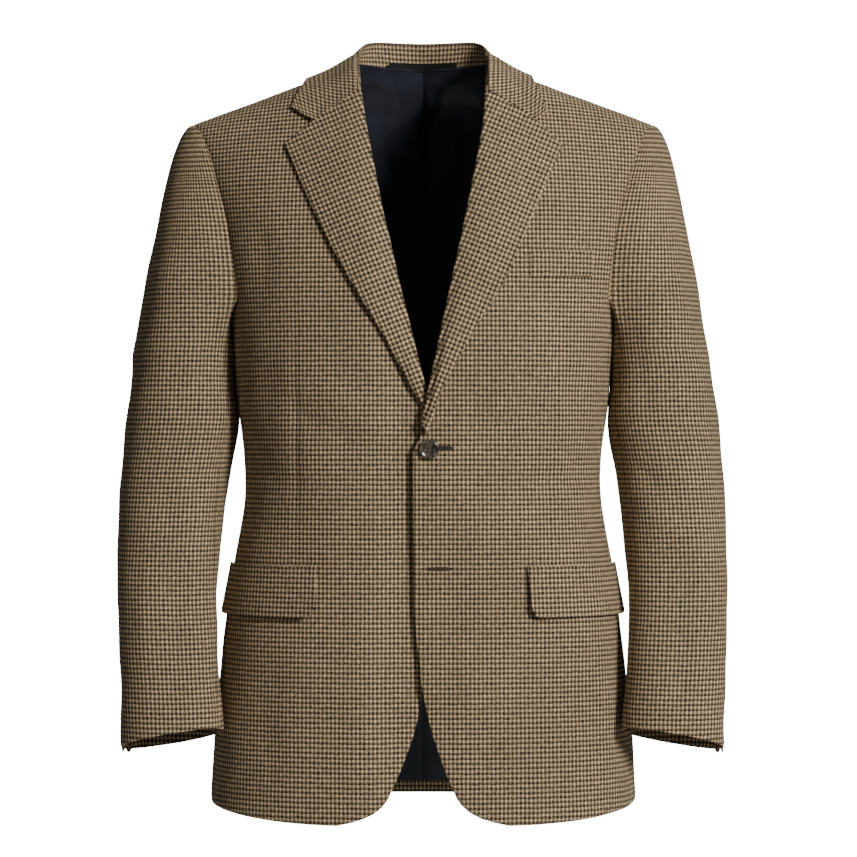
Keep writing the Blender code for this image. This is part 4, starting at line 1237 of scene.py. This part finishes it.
@dataclass
class Lapels:
    """The fronts turned over along their roll lines."""

    finishes: Finishes
    cloth: float = 2.2
    front_cloth: float = 2.0
    roll_radius: float = 2.0
    gap: float = 0.9
    lift: float = 3.2
    belly: float = 3.6
    roll_steps: int = 8
    columns: int = 44
    stations: int = 92
    least_width: float = 3.5
    flare: float = 2.6
    belly_levels: tuple[float, float, float, float] = (20.0, 120.0, 300.0, 372.0)
    flare_levels: tuple[float, float, float, float] = (60.0, 200.0, 310.0, 366.0)
    edge_thin: float = 2.5
    weave_turn: float = math.radians(22.0)
    notches: dict[Side, tuple[float, float]] = field(
        default_factory=lambda: {Side.LEFT: (0.65, 7.2), Side.RIGHT: (0.61, 2.4)})

    def rolled(self, side: Side, level: Array) -> tuple[Array, Array]:
        """Middle of the cloth as it leaves the front's edge and rolls over it.

        Args:
            side: which lapel.
            level: levels on the roll line.

        Returns:
            Points as levels x roll steps + 1, and their outward directions.
        """
        turn = side.value
        edge, normal = BODY.front_at(side, turn * BODY.front_edge(side, level), level)
        low, high = level - 4, level + 4
        below, _ = BODY.front_at(side, turn * BODY.front_edge(side, low), low)
        above, _ = BODY.front_at(side, turn * BODY.front_edge(side, high), high)
        edgeward = np.cross(unit(below - above), normal) * turn
        start = edge - normal * self.front_cloth / 2 + edgeward * self.gap
        centre = start + normal * self.roll_radius
        angles = np.linspace(0, math.pi, self.roll_steps + 1)[None, :, None]
        outward = edgeward[:, None] * np.sin(angles) - normal[:, None] * np.cos(angles)
        return centre[:, None] + outward * self.roll_radius, outward

    def grid(self, side: Side) -> tuple[Array, Array]:
        """Middle surface of a lapel and its directions: stations down the roll, then across."""
        place = np.linspace(0, len(LAPEL_ROWS) - 1, self.stations)
        roll, left_x, left_z, right_x, right_z = (curve_through(column, place)
                                                  for column in zip(*LAPEL_ROWS))
        edge_x, edge_z = (left_x, left_z) if side is Side.LEFT else (right_x, right_z)
        roll_x = BODY.front_edge(side, roll)
        edge_x = np.maximum(edge_x, roll_x + self.least_width)
        start, outward = self.rolled(side, roll)
        part = np.linspace(0, 1, self.columns + 1)[None, 1:]
        first = 2 * self.roll_radius - self.front_cloth / 2
        belly = 1.0 + (self.belly - 1.0) * between(-roll, *self.belly_levels)[:, None]
        end_lift = self.lift + self.flare * between(-roll, *self.flare_levels)
        lift = mix(first, end_lift[:, None], part) + belly * np.sin(math.pi * part ** 0.8)
        x = mix(roll_x[:, None], edge_x[:, None], part)
        z = mix(roll[:, None], edge_z[:, None], part)
        notch, rise = self.notches[side]
        bend = np.interp(part, (0.0, notch, 1.0), (0.0, rise, 0.0))
        z = z + bend * np.exp(-(place[:, None] / 0.5) ** 1.5)
        fall, normals = BODY.front_at(side, side.value * x, z)
        points = fall + normals * lift[..., None]
        return np.concatenate((start, points), axis=1), np.concatenate((outward, normals), axis=1)

    def build(self) -> None:
        """Make both lapels."""
        for side in Side:
            middle, normals = self.grid(side)
            outer = middle + normals * (self.cloth / 2)
            across = lengths_along(middle, 1)
            away = across[:, -1:] - across
            down = lengths_along(middle, 0)
            thin = np.clip(1 - np.minimum(away, down) / self.edge_thin, 0, 1) ** 2
            outer = outer - normals * (0.5 * thin)[..., None]
            turn = -self.weave_turn * side.value
            x, z = middle[..., 0] * MM, middle[..., 2] * MM
            place = np.stack((x * math.cos(turn) + z * math.sin(turn),
                              z * math.cos(turn) - x * math.sin(turn), np.zeros_like(x)), axis=-1)
            cloth_wall(f"lapel_{side.word}", outer, place, normals, self.cloth,
                       (self.finishes.tweed,))


@dataclass
class Collar:
    """Collar in one folded piece from gorge to gorge."""

    finishes: Finishes
    lapels: Lapels
    cloth: float = 2.2
    roll_radius: float = 2.0
    seam_gap: float = 0.4
    belly: float = 1.6
    columns: int = 36
    stations_each: int = 60
    notch_share: float = 4 / 7
    last_station: float = 5.9
    blend_steps: int = 22

    def side_grid(self, side: Side) -> Array:
        """Middle surface of one half, from centre back to the gorge."""
        place = np.linspace(0, self.last_station, self.stations_each)
        columns = collar_columns(place)
        turn = side.value
        seam = np.stack((turn * columns["seam_x"], columns["seam_y"], columns["seam_z"]), axis=-1)
        fold = np.stack((turn * columns["fold_x"], columns["fold_y"], columns["fold_z"]), axis=-1)
        edge_x, edge_y = columns[f"{side.word}_x"], columns[f"{side.word}_y"]
        edge = np.stack((turn * edge_x, edge_y, BODY.height_at(edge_x, edge_y)), axis=-1)
        up = unit(fold * 2 - seam - edge)
        out = edge - seam
        out = unit(out - up * (out * up).sum(-1, keepdims=True))
        centre = fold - up * self.roll_radius
        rise = centre - out * self.roll_radius
        first = seam + unit(rise - seam) * self.seam_gap
        parts = [mix(first[:, None], rise[:, None], np.linspace(0, 1, 9)[None, :-1, None])]
        angles = np.linspace(0, math.pi, self.lapels.roll_steps + 1)[None, :-1, None]
        parts.append(centre[:, None] - out[:, None] * self.roll_radius * np.cos(angles)
                     + up[:, None] * self.roll_radius * np.sin(angles))
        top = centre + out * self.roll_radius
        across = unit(np.cross(np.cross(edge - top, up), edge - top))
        share = np.linspace(0, 1, self.columns + 1)[None, :, None]
        fall = mix(top[:, None], edge[:, None], share)
        fall = fall + across[:, None] * columns["bulge"][:, None, None] * np.sin(math.pi * share)
        parts.append(self.lift_clear(fall, columns["lift"][:, None]))
        return np.concatenate(parts, axis=1)

    def lift_clear(self, points: Array, lift: Array) -> Array:
        """Raise points of the collar to lie clear of the shoulder."""
        x, y = points[..., 0], points[..., 1]
        slope_x = (BODY.height_at(x + 1, y) - BODY.height_at(x - 1, y)) / 2
        slope_y = (BODY.height_at(x, y + 1) - BODY.height_at(x, y - 1)) / 2
        need = BODY.height_at(x, y) + lift * np.sqrt(1 + slope_x ** 2 + slope_y ** 2)
        raised = points.copy()
        raised[..., 2] = kept_over(points[..., 2], need, 0.6)
        return raised

    def end_line(self, side: Side) -> Array:
        """Front end of the collar, along the gorge seam to the notch and out to the tip."""
        roll, notch_x, notch_z, tip_x, tip_z = COLLAR_ENDS[side]
        rolled = self.lapels.rolled(side, np.array([float(roll)]))[0][0]
        back = unit(rolled[0] - rolled[1]) * 0.9
        stand = rolled[0] + back * np.linspace(1, 0, 9)[:-1, None]
        share = np.linspace(0, 1, self.columns + 1)
        roll_x = float(BODY.front_edge(side, np.array([float(roll)]))[0])
        keys = (0.0, self.notch_share, 1.0)
        x = np.interp(share, keys, (roll_x, notch_x, tip_x))
        z = np.interp(share, keys, (roll, notch_z, tip_z))
        first = 2 * self.roll_radius - self.lapels.front_cloth / 2
        lift = mix(first, self.lapels.lift, share) + self.belly * np.sin(math.pi * share)
        fall = BODY.on_front(side, side.value * x, z, lift)
        return np.concatenate((stand, rolled[:-1], fall))

    def with_front(self, side: Side, grid: Array) -> Array:
        """Carry one half of the collar on from the shoulder to its front end."""
        end = self.end_line(side)
        pace = unit(grid[-1] - grid[-3]) * np.linalg.norm(end - grid[-1], axis=-1, keepdims=True)
        steps = np.linspace(0, 1, self.blend_steps + 1)[1:, None, None]
        front = mix(grid[-1][None], end[None], steps)
        front = front + pace[None] * 0.35 * steps * (1 - steps) ** 2
        fall = front[:, -(self.columns + 1):]
        surface, normal = BODY.front_at(side, fall[..., 0], fall[..., 2])
        need = surface[..., 1] + normal[..., 1] * self.lapels.lift
        cleared = -kept_over(-fall[..., 1], -need, 0.4)
        fall[..., 1] = mix(fall[..., 1], cleared, smooth(steps[..., 0], 0.0, 0.3))
        return np.concatenate((grid, front))

    def build(self) -> None:
        """Make the collar."""
        right, left = (self.with_front(side, self.side_grid(side))
                       for side in (Side.RIGHT, Side.LEFT))
        middle = np.concatenate((right[::-1], left[1:]))
        normals = grid_normals(middle)
        if normals[len(normals) // 2, -6, 2] < 0:
            normals = -normals
        outer = middle + normals * (self.cloth / 2)
        across = lengths_along(middle, 1)
        along = lengths_along(middle, 0)
        centre = along[len(along) // 2][None]
        place = np.stack(((along - centre), across[:, 16:17] - across, np.zeros_like(across)),
                         axis=-1) * MM
        cloth_wall("collar", outer, place, normals, self.cloth, (self.finishes.tweed,))


@dataclass
class Sleeves:
    """Top and under sleeves."""

    finishes: Finishes
    cloth: float = 2.0
    seam_depth: float = 0.8
    seam_width: float = 3.0
    vent_drop: float = 4.6
    vent_corners: tuple[float, float] = (6.0, 21.0)
    vent_width: float = 4.0
    vent_height: float = 14.0
    cuff_turn_up: float = 0.035
    top_columns: int = 96
    under_columns: int = 50
    step: float = 4.2

    def places(self) -> Array:
        """Places evenly down the sleeve."""
        fine = np.linspace(0, len(RINGS), 500)
        line = SLEEVE.point(Side.LEFT, 45.0, fine)[None]
        return even_steps(line, fine[None], int(lengths_along(line, 1)[0, -1] / self.step))[0]

    def grid(self, side: Side, first: Callable[[Array], Array], last: Callable[[Array], Array],
             columns: int) -> tuple[Array, Array]:
        """Outer points of a piece on its own side, and their angles."""
        place = self.places()[:, None]
        fine = mix(first(place), last(place), np.linspace(0, 1, 260))
        angles = even_steps(SLEEVE.point(side, fine, place), fine, columns)
        points = SLEEVE.point(side, angles, place)
        points[..., 0] *= side.value
        return points, angles

    def relief(self, side: Side, points: Array, angles: Array) -> Array:
        """Height of the drape over the plain form, in millimetres."""
        x, y, z = points[..., 0], points[..., 1], points[..., 2]
        height = 1.3 * waves(x * 0.8 + y, z * 0.6, 7.0 + side.value) * smooth(-z, 90, 200)
        front = smooth(np.sin(np.radians(angles)), -0.1, 0.5)
        return height + crease_height(SLEEVE_CREASES[side], x, z) * front

    def build(self) -> None:
        """Make all four pieces."""
        for side in Side:
            self.build_piece(f"under_sleeve_{side.word}", side,
                             lambda place: SLEEVE.seam(0, place),
                             lambda place: SLEEVE.seam(1, place), self.under_columns)
            self.build_piece(f"top_sleeve_{side.word}", side,
                             lambda place: SLEEVE.seam(1, place) - 360.0,
                             lambda place: SLEEVE.seam(0, place), self.top_columns)

    def vent_corner(self, name: str, points: Array) -> Array:
        """How far the corners of the cuff's vent hang below the hem."""
        across, down = lengths_along(points, 1), lengths_along(points, 0)
        if name.startswith("under"):
            return np.zeros(across.shape)
        tooth = np.maximum(*(1 - np.abs(across - corner) / self.vent_width
                             for corner in self.vent_corners))
        near_hem = np.clip(1 - (down[-1:] - down) / self.vent_height, 0, 1)
        return self.vent_drop * np.maximum(tooth, 0) * near_hem

    def cloth_place(self, side: Side, points: Array, angles: Array) -> Array:
        """Where places lie on the flat cloth: around the arm from its front, and up it."""
        tall = self.places()[:, None]
        turn = np.linspace(-160, 350, 800)
        ring = SLEEVE.point(side, turn, 1.0)
        hub = np.array((RINGS[0].x, RINGS[0].y))
        heading = np.unwrap(np.arctan2(hub[1] - ring[:, 1], ring[:, 0] - hub[0]))
        run = lengths_along(ring[None], 1)[0]
        run = run - np.interp(90.0, turn, run)
        aim = np.arctan2(hub[1] - points[..., 1], points[..., 0] * side.value - hub[0])
        turned = np.interp(angles, turn, heading)
        aim = aim + 2 * np.pi * np.round((turned - aim) / (2 * np.pi))
        cap = np.interp(aim, heading, run)
        share = np.linspace(0, 1, 40)
        swing = 90 + (angles[..., None] - 90) * share
        fan = SLEEVE.point(side, swing, np.maximum(tall, 1.0)[..., None])
        sleeve = np.linalg.norm(np.diff(fan, axis=-2), axis=-1).sum(-1) * np.sign(angles - 90)
        across = np.where(tall < 1, cap, sleeve)
        line = SLEEVE.point(side, 50.0, np.linspace(0, len(RINGS), 400))
        level = np.interp(-points[..., 2], -line[:, 2], lengths_along(line[None], 1)[0])
        beyond = np.maximum(points[..., 2] - line[0, 2], 0)
        below = np.maximum(line[-1, 2] - points[..., 2], 0)
        up = beyond - level - below
        return np.stack((across * side.value, up, np.zeros_like(up)), axis=-1) * MM

    def build_piece(self, name: str, side: Side, first: Callable[[Array], Array],
                    last: Callable[[Array], Array], columns: int) -> None:
        """One sleeve piece between two seams."""
        points, angles = self.grid(side, first, last, columns)
        normals = grid_normals(points)
        middle = len(points) // 3, columns // 2
        inside = np.array((side.value * RINGS[4].x, RINGS[1].y, points[middle][2]))
        if normals[middle] @ (points[middle] - inside) < 0:
            normals = -normals
        place = self.cloth_place(side, points, angles)
        points = points + normals * self.relief(side, points, angles)[..., None]
        points[..., 2] -= self.vent_corner(name, points)
        points = tuck_edges(points, normals, ("first", "last", "bottom"), self.seam_depth,
                            self.seam_width)
        lined_above = float(place[-1, :, 1].mean()) + self.cuff_turn_up
        cloth_wall(name, points, place, normals, self.cloth,
                   (self.finishes.tweed, self.finishes.lining),
                   inner_finish=lambda spot: int(spot.y > lined_above))


SLEEVE_CREASES: dict[Side, list[Crease]] = {
    Side.LEFT: [
        Crease([(208, -250), (224, -310), (236, -380)], -2.2, 9.0),
        Crease([(212, -400), (240, -432), (286, -440)], -2.2, 9.0),
        Crease([(216, -440), (246, -470), (290, -486)], 1.6, 9.0),
        Crease([(252, -520), (262, -590), (256, -660)], -2.2, 8.0),
        Crease([(276, -470), (282, -560), (276, -640)], 1.8, 9.0),
        Crease([(250, -110), (262, -180), (268, -260)], 1.6, 14.0),
    ],
    Side.RIGHT: [
        Crease([(-208, -250), (-224, -310), (-236, -380)], -2.2, 9.0),
        Crease([(-212, -410), (-242, -440), (-288, -446)], -2.2, 9.0),
        Crease([(-216, -450), (-246, -480), (-292, -494)], 1.6, 9.0),
        Crease([(-246, -500), (-250, -590), (-246, -660)], -2.0, 9.0),
        Crease([(-274, -470), (-282, -560), (-276, -650)], 1.8, 10.0),
        Crease([(-250, -110), (-262, -180), (-268, -260)], 1.6, 14.0),
    ],
}


@dataclass
class Pockets:
    """Hip pocket flaps and the breast welt."""

    finishes: Finishes
    cloth: float = 2.2
    levels: tuple[float, float] = (-509.0, -561.0)
    angles: tuple[float, float] = (26.0, 88.0)
    corner: float = 10.0
    lifts: tuple[float, float] = (0.9, 3.4)
    stand_off: float = 5.0
    welt_x: tuple[float, float] = (108.0, 172.0)
    welt_levels: tuple[float, float] = (-218.5, -192.0)
    welt_slant: float = 0.04
    welt_cloth: float = 2.0
    welt_lift: float = 1.9

    def build(self) -> None:
        """Make the flaps and the welt."""
        for side in Side:
            self.build_flap(side)
        self.build_welt()

    def build_flap(self, side: Side) -> None:
        """One flap, with its lower corners rounded."""
        columns, lines = 80, 22
        share = np.linspace(0, 1, columns)
        drops = [section.drop for section in SECTIONS]
        level_row = np.interp(-np.linspace(*self.levels, lines), drops, range(len(SECTIONS)))
        first, last = (np.full(lines, angle) for angle in self.angles)
        angles = BODY.even_angles(side, first, last, level_row, columns)
        width = float(lengths_along(BODY.point(side, angles, level_row[:, None]), 1)[:, -1].mean())
        from_end = np.minimum(share, 1 - share) * width
        dip = np.clip(1 - from_end / self.corner, 0, 1)
        short = self.corner * (1 - np.sqrt(1 - dip ** 2))
        part = np.linspace(0, 1, lines)[:, None]
        level = mix(self.levels[0], self.levels[1] + short[None, :], part)
        row = np.interp(-level, drops, range(len(SECTIONS)))
        angles = np.broadcast_to(angles[:1], row.shape)
        normals = BODY.normal(side, angles, row)
        lift = mix(self.lifts[0], self.lifts[1], part ** 1.5) + self.cloth
        lift = lift + 0.5 * np.sin(share * 9.0)[None, :] * part
        lift = lift + self.stand_off * np.exp(-share / 0.1)[None, :] * (0.35 + 0.65 * part)
        points = BODY.point(side, angles, row) + normals * lift[..., None]
        points = tuck_edges(points, normals, ("first", "last", "bottom"), 0.8, 2.5)
        place = BODY.cloth_place(side, angles, row)
        cloth_wall(f"flap_{side.word}", points, place, normals, self.cloth,
                   (self.finishes.tweed,))

    def build_welt(self) -> None:
        """Breast pocket welt, its weave matched to the front."""
        x = np.linspace(*self.welt_x, 34)[None, :]
        part = np.linspace(0, 1, 14)[:, None]
        z = mix(self.welt_levels[1], self.welt_levels[0], part)
        z = z + (x - self.welt_x[0]) * self.welt_slant
        x = np.broadcast_to(x, z.shape)
        row = BODY.row_at(Side.LEFT, x, z)
        angle = BODY.angle_of(x, row)
        normals = BODY.normal(Side.LEFT, angle, row)
        points = BODY.point(Side.LEFT, angle, row) + normals * self.welt_lift
        place = BODY.cloth_place(Side.LEFT, angle, row)
        points = tuck_edges(points, normals, ("first", "last", "bottom", "top"), 0.8, 2.0)
        cloth_wall("breast_welt", points, place, normals, self.welt_cloth, (self.finishes.tweed,))


@dataclass
class Buttons:
    """Front buttons and cuff buttons with their thread."""

    finishes: Finishes
    x: float = 6.2
    level: float = -391.5
    spacing: float = 120.0
    radius: float = 10.0
    depth: float = 3.4
    seat: float = 0.9
    cuff_seat: float = 0.5
    cuff_radius: float = 7.5
    cuff_depth: float = 3.0
    cuff_spacing: float = 16.5
    cuff_first: float = 38.0
    cuff_angle: float = 312.0
    cuff_count: int = 4
    hole_offset: float = 0.17
    hole_radius: float = 0.085
    strand_radius: float = 0.030
    profile: tuple[tuple[float, float], ...] = (
        (0.0, 0.0), (0.55, 0.0), (0.80, 0.16), (0.95, 0.38), (1.0, 0.58), (0.985, 0.78),
        (0.93, 0.94), (0.86, 1.0), (0.79, 0.97), (0.72, 0.86), (0.62, 0.74), (0.4, 0.66),
        (0.0, 0.63))

    def build(self) -> None:
        """Make every button and buttonhole."""
        for name, side, level in (("button_upper", Side.LEFT, self.level),
                                  ("button_lower", Side.RIGHT, self.level - self.spacing)):
            foot, normal = BODY.front_at(side, np.array(self.x), np.array(level))
            self.build_button(name, Vector(foot + normal * self.seat), Vector(normal),
                              self.radius, self.depth, 72)
        for side in Side:
            for number in range(self.cuff_count):
                point, normal = self.cuff_place(side, self.cuff_first + number * self.cuff_spacing)
                self.build_button(f"sleeve_button_{side.word}_{number + 1}",
                                  Vector(point + normal * self.cuff_seat), Vector(normal),
                                  self.cuff_radius, self.cuff_depth, 40)

    def cuff_place(self, side: Side, up: float) -> tuple[Array, Array]:
        """Point of the sleeve under a cuff button and its outward direction.

        Args:
            side: which sleeve.
            up: height over the hem, in millimetres.

        Returns:
            The point in millimetres, and the direction.
        """
        heights = [ring.z for ring in RINGS][::-1]
        at = len(RINGS) - np.interp(RINGS[-1].z + up, heights, range(len(RINGS)))
        angle = self.cuff_angle
        around = SLEEVE.point(side, np.array([angle - 1.5, angle + 1.5]), at)
        along = SLEEVE.point(side, angle, np.array([at - 0.04, at + 0.04]))
        point = SLEEVE.point(side, np.array(angle), np.array(at))
        normal = -unit(np.cross(along[1] - along[0], around[1] - around[0]))
        for vector in (point, normal):
            vector[0] *= side.value
        return point, normal

    def build_button(self, name: str, place: Vector, direction: Vector, radius: float,
                     depth: float, steps: int) -> None:
        """Four-hole button turned about its axis, with its thread through the holes."""
        turn = direction.to_track_quat("Z", "Y").to_matrix().to_4x4()
        seat = Matrix.Translation(place * MM) @ turn
        mesh = bmesh.new()
        previous = None
        for across, up in self.profile:
            corner = mesh.verts.new((across * radius * MM, 0, up * depth * MM))
            if previous is not None:
                mesh.edges.new((previous, corner))
            previous = corner
        bmesh.ops.spin(mesh, geom=mesh.verts[:] + mesh.edges[:], cent=(0, 0, 0), axis=(0, 0, 1),
                       angle=2 * math.pi, steps=steps, use_merge=True)
        bmesh.ops.remove_doubles(mesh, verts=mesh.verts[:], dist=0.00001)
        bmesh.ops.recalc_face_normals(mesh, faces=mesh.faces[:])
        drilled = self.drill(name, mesh_data(name + "_blank", mesh), radius, depth)
        mesh = bmesh.new()
        mesh.from_mesh(drilled)
        bpy.data.meshes.remove(drilled)
        bmesh.ops.transform(mesh, matrix=seat, verts=mesh.verts[:])
        finish_piece(name, mesh, (self.finishes.horn,), stands_for_node=True)
        threads = bmesh.new()
        for way in (-1, 1):
            for strand in (-1, 0, 1):
                self.strand(threads, radius, depth, way, strand)
        bmesh.ops.transform(threads, matrix=seat, verts=threads.verts[:])
        finish_piece(name + "_thread", threads, (self.finishes.button_thread,))

    def drill(self, name: str, blank: bpy.types.Mesh, radius: float,
              depth: float) -> bpy.types.Mesh:
        """Cut the four holes and return the drilled mesh."""
        cutter = bmesh.new()
        offset, hole = self.hole_offset * radius * MM, self.hole_radius * radius * MM
        for x in (-offset, offset):
            for y in (-offset, offset):
                bmesh.ops.create_cone(cutter, cap_ends=True, segments=16, radius1=hole,
                                      radius2=hole, depth=depth * 2 * MM,
                                      matrix=Matrix.Translation((x, y, depth * 0.5 * MM)))
        tool = put_in_scene(name + "_drill", mesh_data(name + "_drill", cutter))
        work = put_in_scene(name + "_work", blank)
        cut = work.modifiers.new("holes", "BOOLEAN")
        cut.object = tool
        cut.operation = "DIFFERENCE"
        cut.solver = "EXACT"
        shown = work.evaluated_get(bpy.context.evaluated_depsgraph_get())
        drilled = bpy.data.meshes.new_from_object(shown)
        for item in (work, tool):
            bpy.data.meshes.remove(item.data)
        return drilled

    def strand(self, mesh: BMesh, radius: float, depth: float, way: int,
               strand: int) -> None:
        """One thread from hole to hole, arched over the button's face."""
        hole = self.hole_offset * radius * MM
        thick = self.strand_radius * radius * MM
        offset = way * hole + strand * thick * 1.5
        face = 0.60 * depth * MM
        place = Matrix.Translation((hole, offset, face)) @ Matrix.Rotation(0, 4, "X")
        made = bmesh.ops.create_circle(mesh, cap_ends=True, segments=8, radius=thick, matrix=place)
        edges = {edge for vert in made["verts"] for edge in vert.link_edges}
        faces = {item for vert in made["verts"] for item in vert.link_faces}
        bmesh.ops.spin(mesh, geom=made["verts"] + list(edges) + list(faces),
                       cent=(0, offset, face), axis=(0, -1, 0), angle=math.pi, steps=10)


@dataclass
class Buttonholes:
    """Worked buttonholes on the left front: purled thread ringing a dark strip of painted shade
    for the slit.
    """

    finishes: Finishes
    half_slit: float = 1.35
    cord: tuple[float, float] = (0.62, 0.55)
    cord_lift: float = 0.45
    slit_lift: float = 0.12
    stitches: int = 48
    ends: tuple[tuple[str, float, float, float], ...] = (
        ("buttonhole_upper", 8.0, 30.0, -390.5), ("buttonhole_lower", 4.0, 29.0, -511.5))

    def build(self) -> None:
        """Make both buttonholes."""
        for name, start, end, level in self.ends:
            self.build_cord(name, (start + end) / 2, (end - start) / 2, level)
            # The slit is drawn as a dark strip of painted shade.
            self.build_slit_shade(name + "_slit", (start + end) / 2, (end - start) / 2, level)

    def build_cord(self, name: str, middle: float, half: float, level: float) -> None:
        """Ring of purled stitches round the slit."""
        share = np.linspace(0, 2 * math.pi, 97)[:-1]
        x = middle + half * np.cos(share)
        z = level + self.half_slit * signed_power(np.sin(share), 0.5)
        foot, normal = BODY.front_at(Side.LEFT, x, z)
        line = foot + normal * self.cord_lift
        out = np.cross(unit(np.roll(line, -1, axis=0) - np.roll(line, 1, axis=0)), normal)
        stitch = (1.0 + 0.22 * np.sin(share * self.stitches))[None, :, None]
        ring = np.linspace(0, 2 * math.pi, 9)[:, None, None]
        points = (line + out * self.cord[0] * stitch * np.cos(ring)
                  + normal * self.cord[1] * stitch * np.sin(ring))
        points = np.concatenate((points, points[:, :1]), axis=1)
        mesh = cloth_grid(points, points * MM)
        bmesh.ops.remove_doubles(mesh, verts=mesh.verts[:], dist=0.00001)
        bmesh.ops.recalc_face_normals(mesh, faces=mesh.faces[:])
        finish_piece(name, mesh, (self.finishes.edge_thread_and_slit_shade,))

    def build_slit_shade(self, name: str, middle: float, half: float, level: float) -> None:
        """Dark strip inside the ring, in the buttonhole thread's finish: painted shade standing
        for the open slit.
        """
        inner = np.linspace(-0.92, 0.92, 24)[None, :]
        up = np.linspace(0.7, -0.7, 5)[:, None]
        x, z = np.broadcast_arrays(middle + half * inner, level + up * (1 - inner ** 4))
        points = BODY.on_front(Side.LEFT, x, z, np.full(x.shape, self.slit_lift))
        mesh = cloth_grid(points, points * MM)
        finish_piece(name, mesh, (self.finishes.edge_thread_and_slit_shade,))


@dataclass
class NeckLabel:
    """Bare woven label across the neck seam."""

    finishes: Finishes
    half: float = 35.0
    levels: tuple[float, float] = (15.4, 6.4)
    seat: float = 7.4
    cloth: float = 0.8
    collar_cloth: float = 2.2
    roll_radius: float = 2.0

    def build(self) -> None:
        """Make the label."""
        x = np.linspace(-self.half, self.half, 60)[None, :]
        level = np.linspace(*self.levels, 10)[:, None]
        columns = collar_columns(np.abs(x) / 25.0)
        share = (level - columns["seam_z"]) / (columns["fold_z"] - columns["seam_z"])
        y = mix(columns["seam_y"], columns["fold_y"] - self.roll_radius, share)
        y = y - self.collar_cloth / 2 - self.seat - self.cloth
        points = np.stack(np.broadcast_arrays(x, y, level), axis=-1).astype(float)
        normals = np.zeros_like(points)
        normals[..., 1] = -1.0
        cloth_wall("neck_label", points, points * MM, normals, self.cloth,
                   (self.finishes.label,))


@dataclass
class Studio:
    """Pale floor, soft lights and the camera of the photograph's view."""

    floor_level: float = -1.16
    floor_radius: float = 1.1
    camera_place: Colour = (0.0057, -3.2, -0.3708)
    lens: float = 129.25
    seen_strength: float = 17.0
    lit_strength: float = 0.075

    def build(self) -> None:
        """Set the stage."""
        mesh = bmesh.new()
        bmesh.ops.create_circle(mesh, cap_ends=True, segments=96, radius=self.floor_radius,
                                matrix=Matrix.Translation((0, 0, self.floor_level)))
        floor = put_in_scene("floor", mesh_data("floor", mesh))
        floor.data.materials.append(PaleFloor().build())
        self.light("key", (2.15, -2.85, 0.95), (0.0, 0.0, -0.2), 0.8, 152.0)
        self.light("fill", (-1.6, -3.0, 0.3), (0.0, 0.0, -0.4), 1.6, 4.0)
        self.light("top", (0.3, -0.8, 2.2), (0.0, 0.0, -0.3), 1.2, 6.0)
        self.light("back", (0.0, 2.8, 0.9), (0.0, 0.0, -0.35), 2.0, 10.0)
        self.world()
        camera = put_in_scene("camera", bpy.data.cameras.new("camera"))
        camera.location = self.camera_place
        camera.rotation_euler = (math.radians(90), 0, 0)
        camera.data.lens = self.lens
        camera.data.sensor_width = 36.0
        bpy.context.scene.camera = camera

    def light(self, name: str, place: Sequence[float], aim: Sequence[float], size: float,
              power: float) -> None:
        """Soft square light aimed at a place."""
        data = bpy.data.lights.new(name, "AREA")
        data.size = size
        data.energy = power
        lamp = put_in_scene(name, data)
        lamp.location = place
        lamp.rotation_euler = (Vector(aim) - Vector(place)).to_track_quat("-Z", "Y").to_euler()

    def world(self) -> None:
        """White surround that lights softly."""
        world = bpy.data.worlds.new("studio")
        world.use_nodes = True
        tree = world.node_tree
        lit, shown = tree.nodes["Background"], tree.nodes.new("ShaderNodeBackground")
        for node, strength in ((lit, self.lit_strength), (shown, self.seen_strength)):
            node.inputs["Color"].default_value = (1.0, 1.0, 1.0, 1.0)
            node.inputs["Strength"].default_value = strength
        path = tree.nodes.new("ShaderNodeLightPath")
        choose = tree.nodes.new("ShaderNodeMixShader")
        tree.links.new(path.outputs["Is Camera Ray"], choose.inputs[0])
        tree.links.new(lit.outputs[0], choose.inputs[1])
        tree.links.new(shown.outputs[0], choose.inputs[2])
        tree.links.new(choose.outputs[0], tree.nodes["World Output"].inputs[0])
        bpy.context.scene.world = world


def main() -> None:
    """Load the frame, dress the blazer and set the studio."""
    logging.basicConfig(level=logging.INFO, format="%(message)s")
    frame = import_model()
    LOG.info("%d packed pieces", len(frame["nodes"]))
    finishes = Finishes.make()
    lapels = Lapels(finishes)
    Body(finishes).build()
    lapels.build()
    Collar(finishes, lapels).build()
    Sleeves(finishes).build()
    Pockets(finishes).build()
    Buttons(finishes).build()
    Buttonholes(finishes).build()
    NeckLabel(finishes).build()
    Studio().build()


if __name__ == "__main__":
    main()
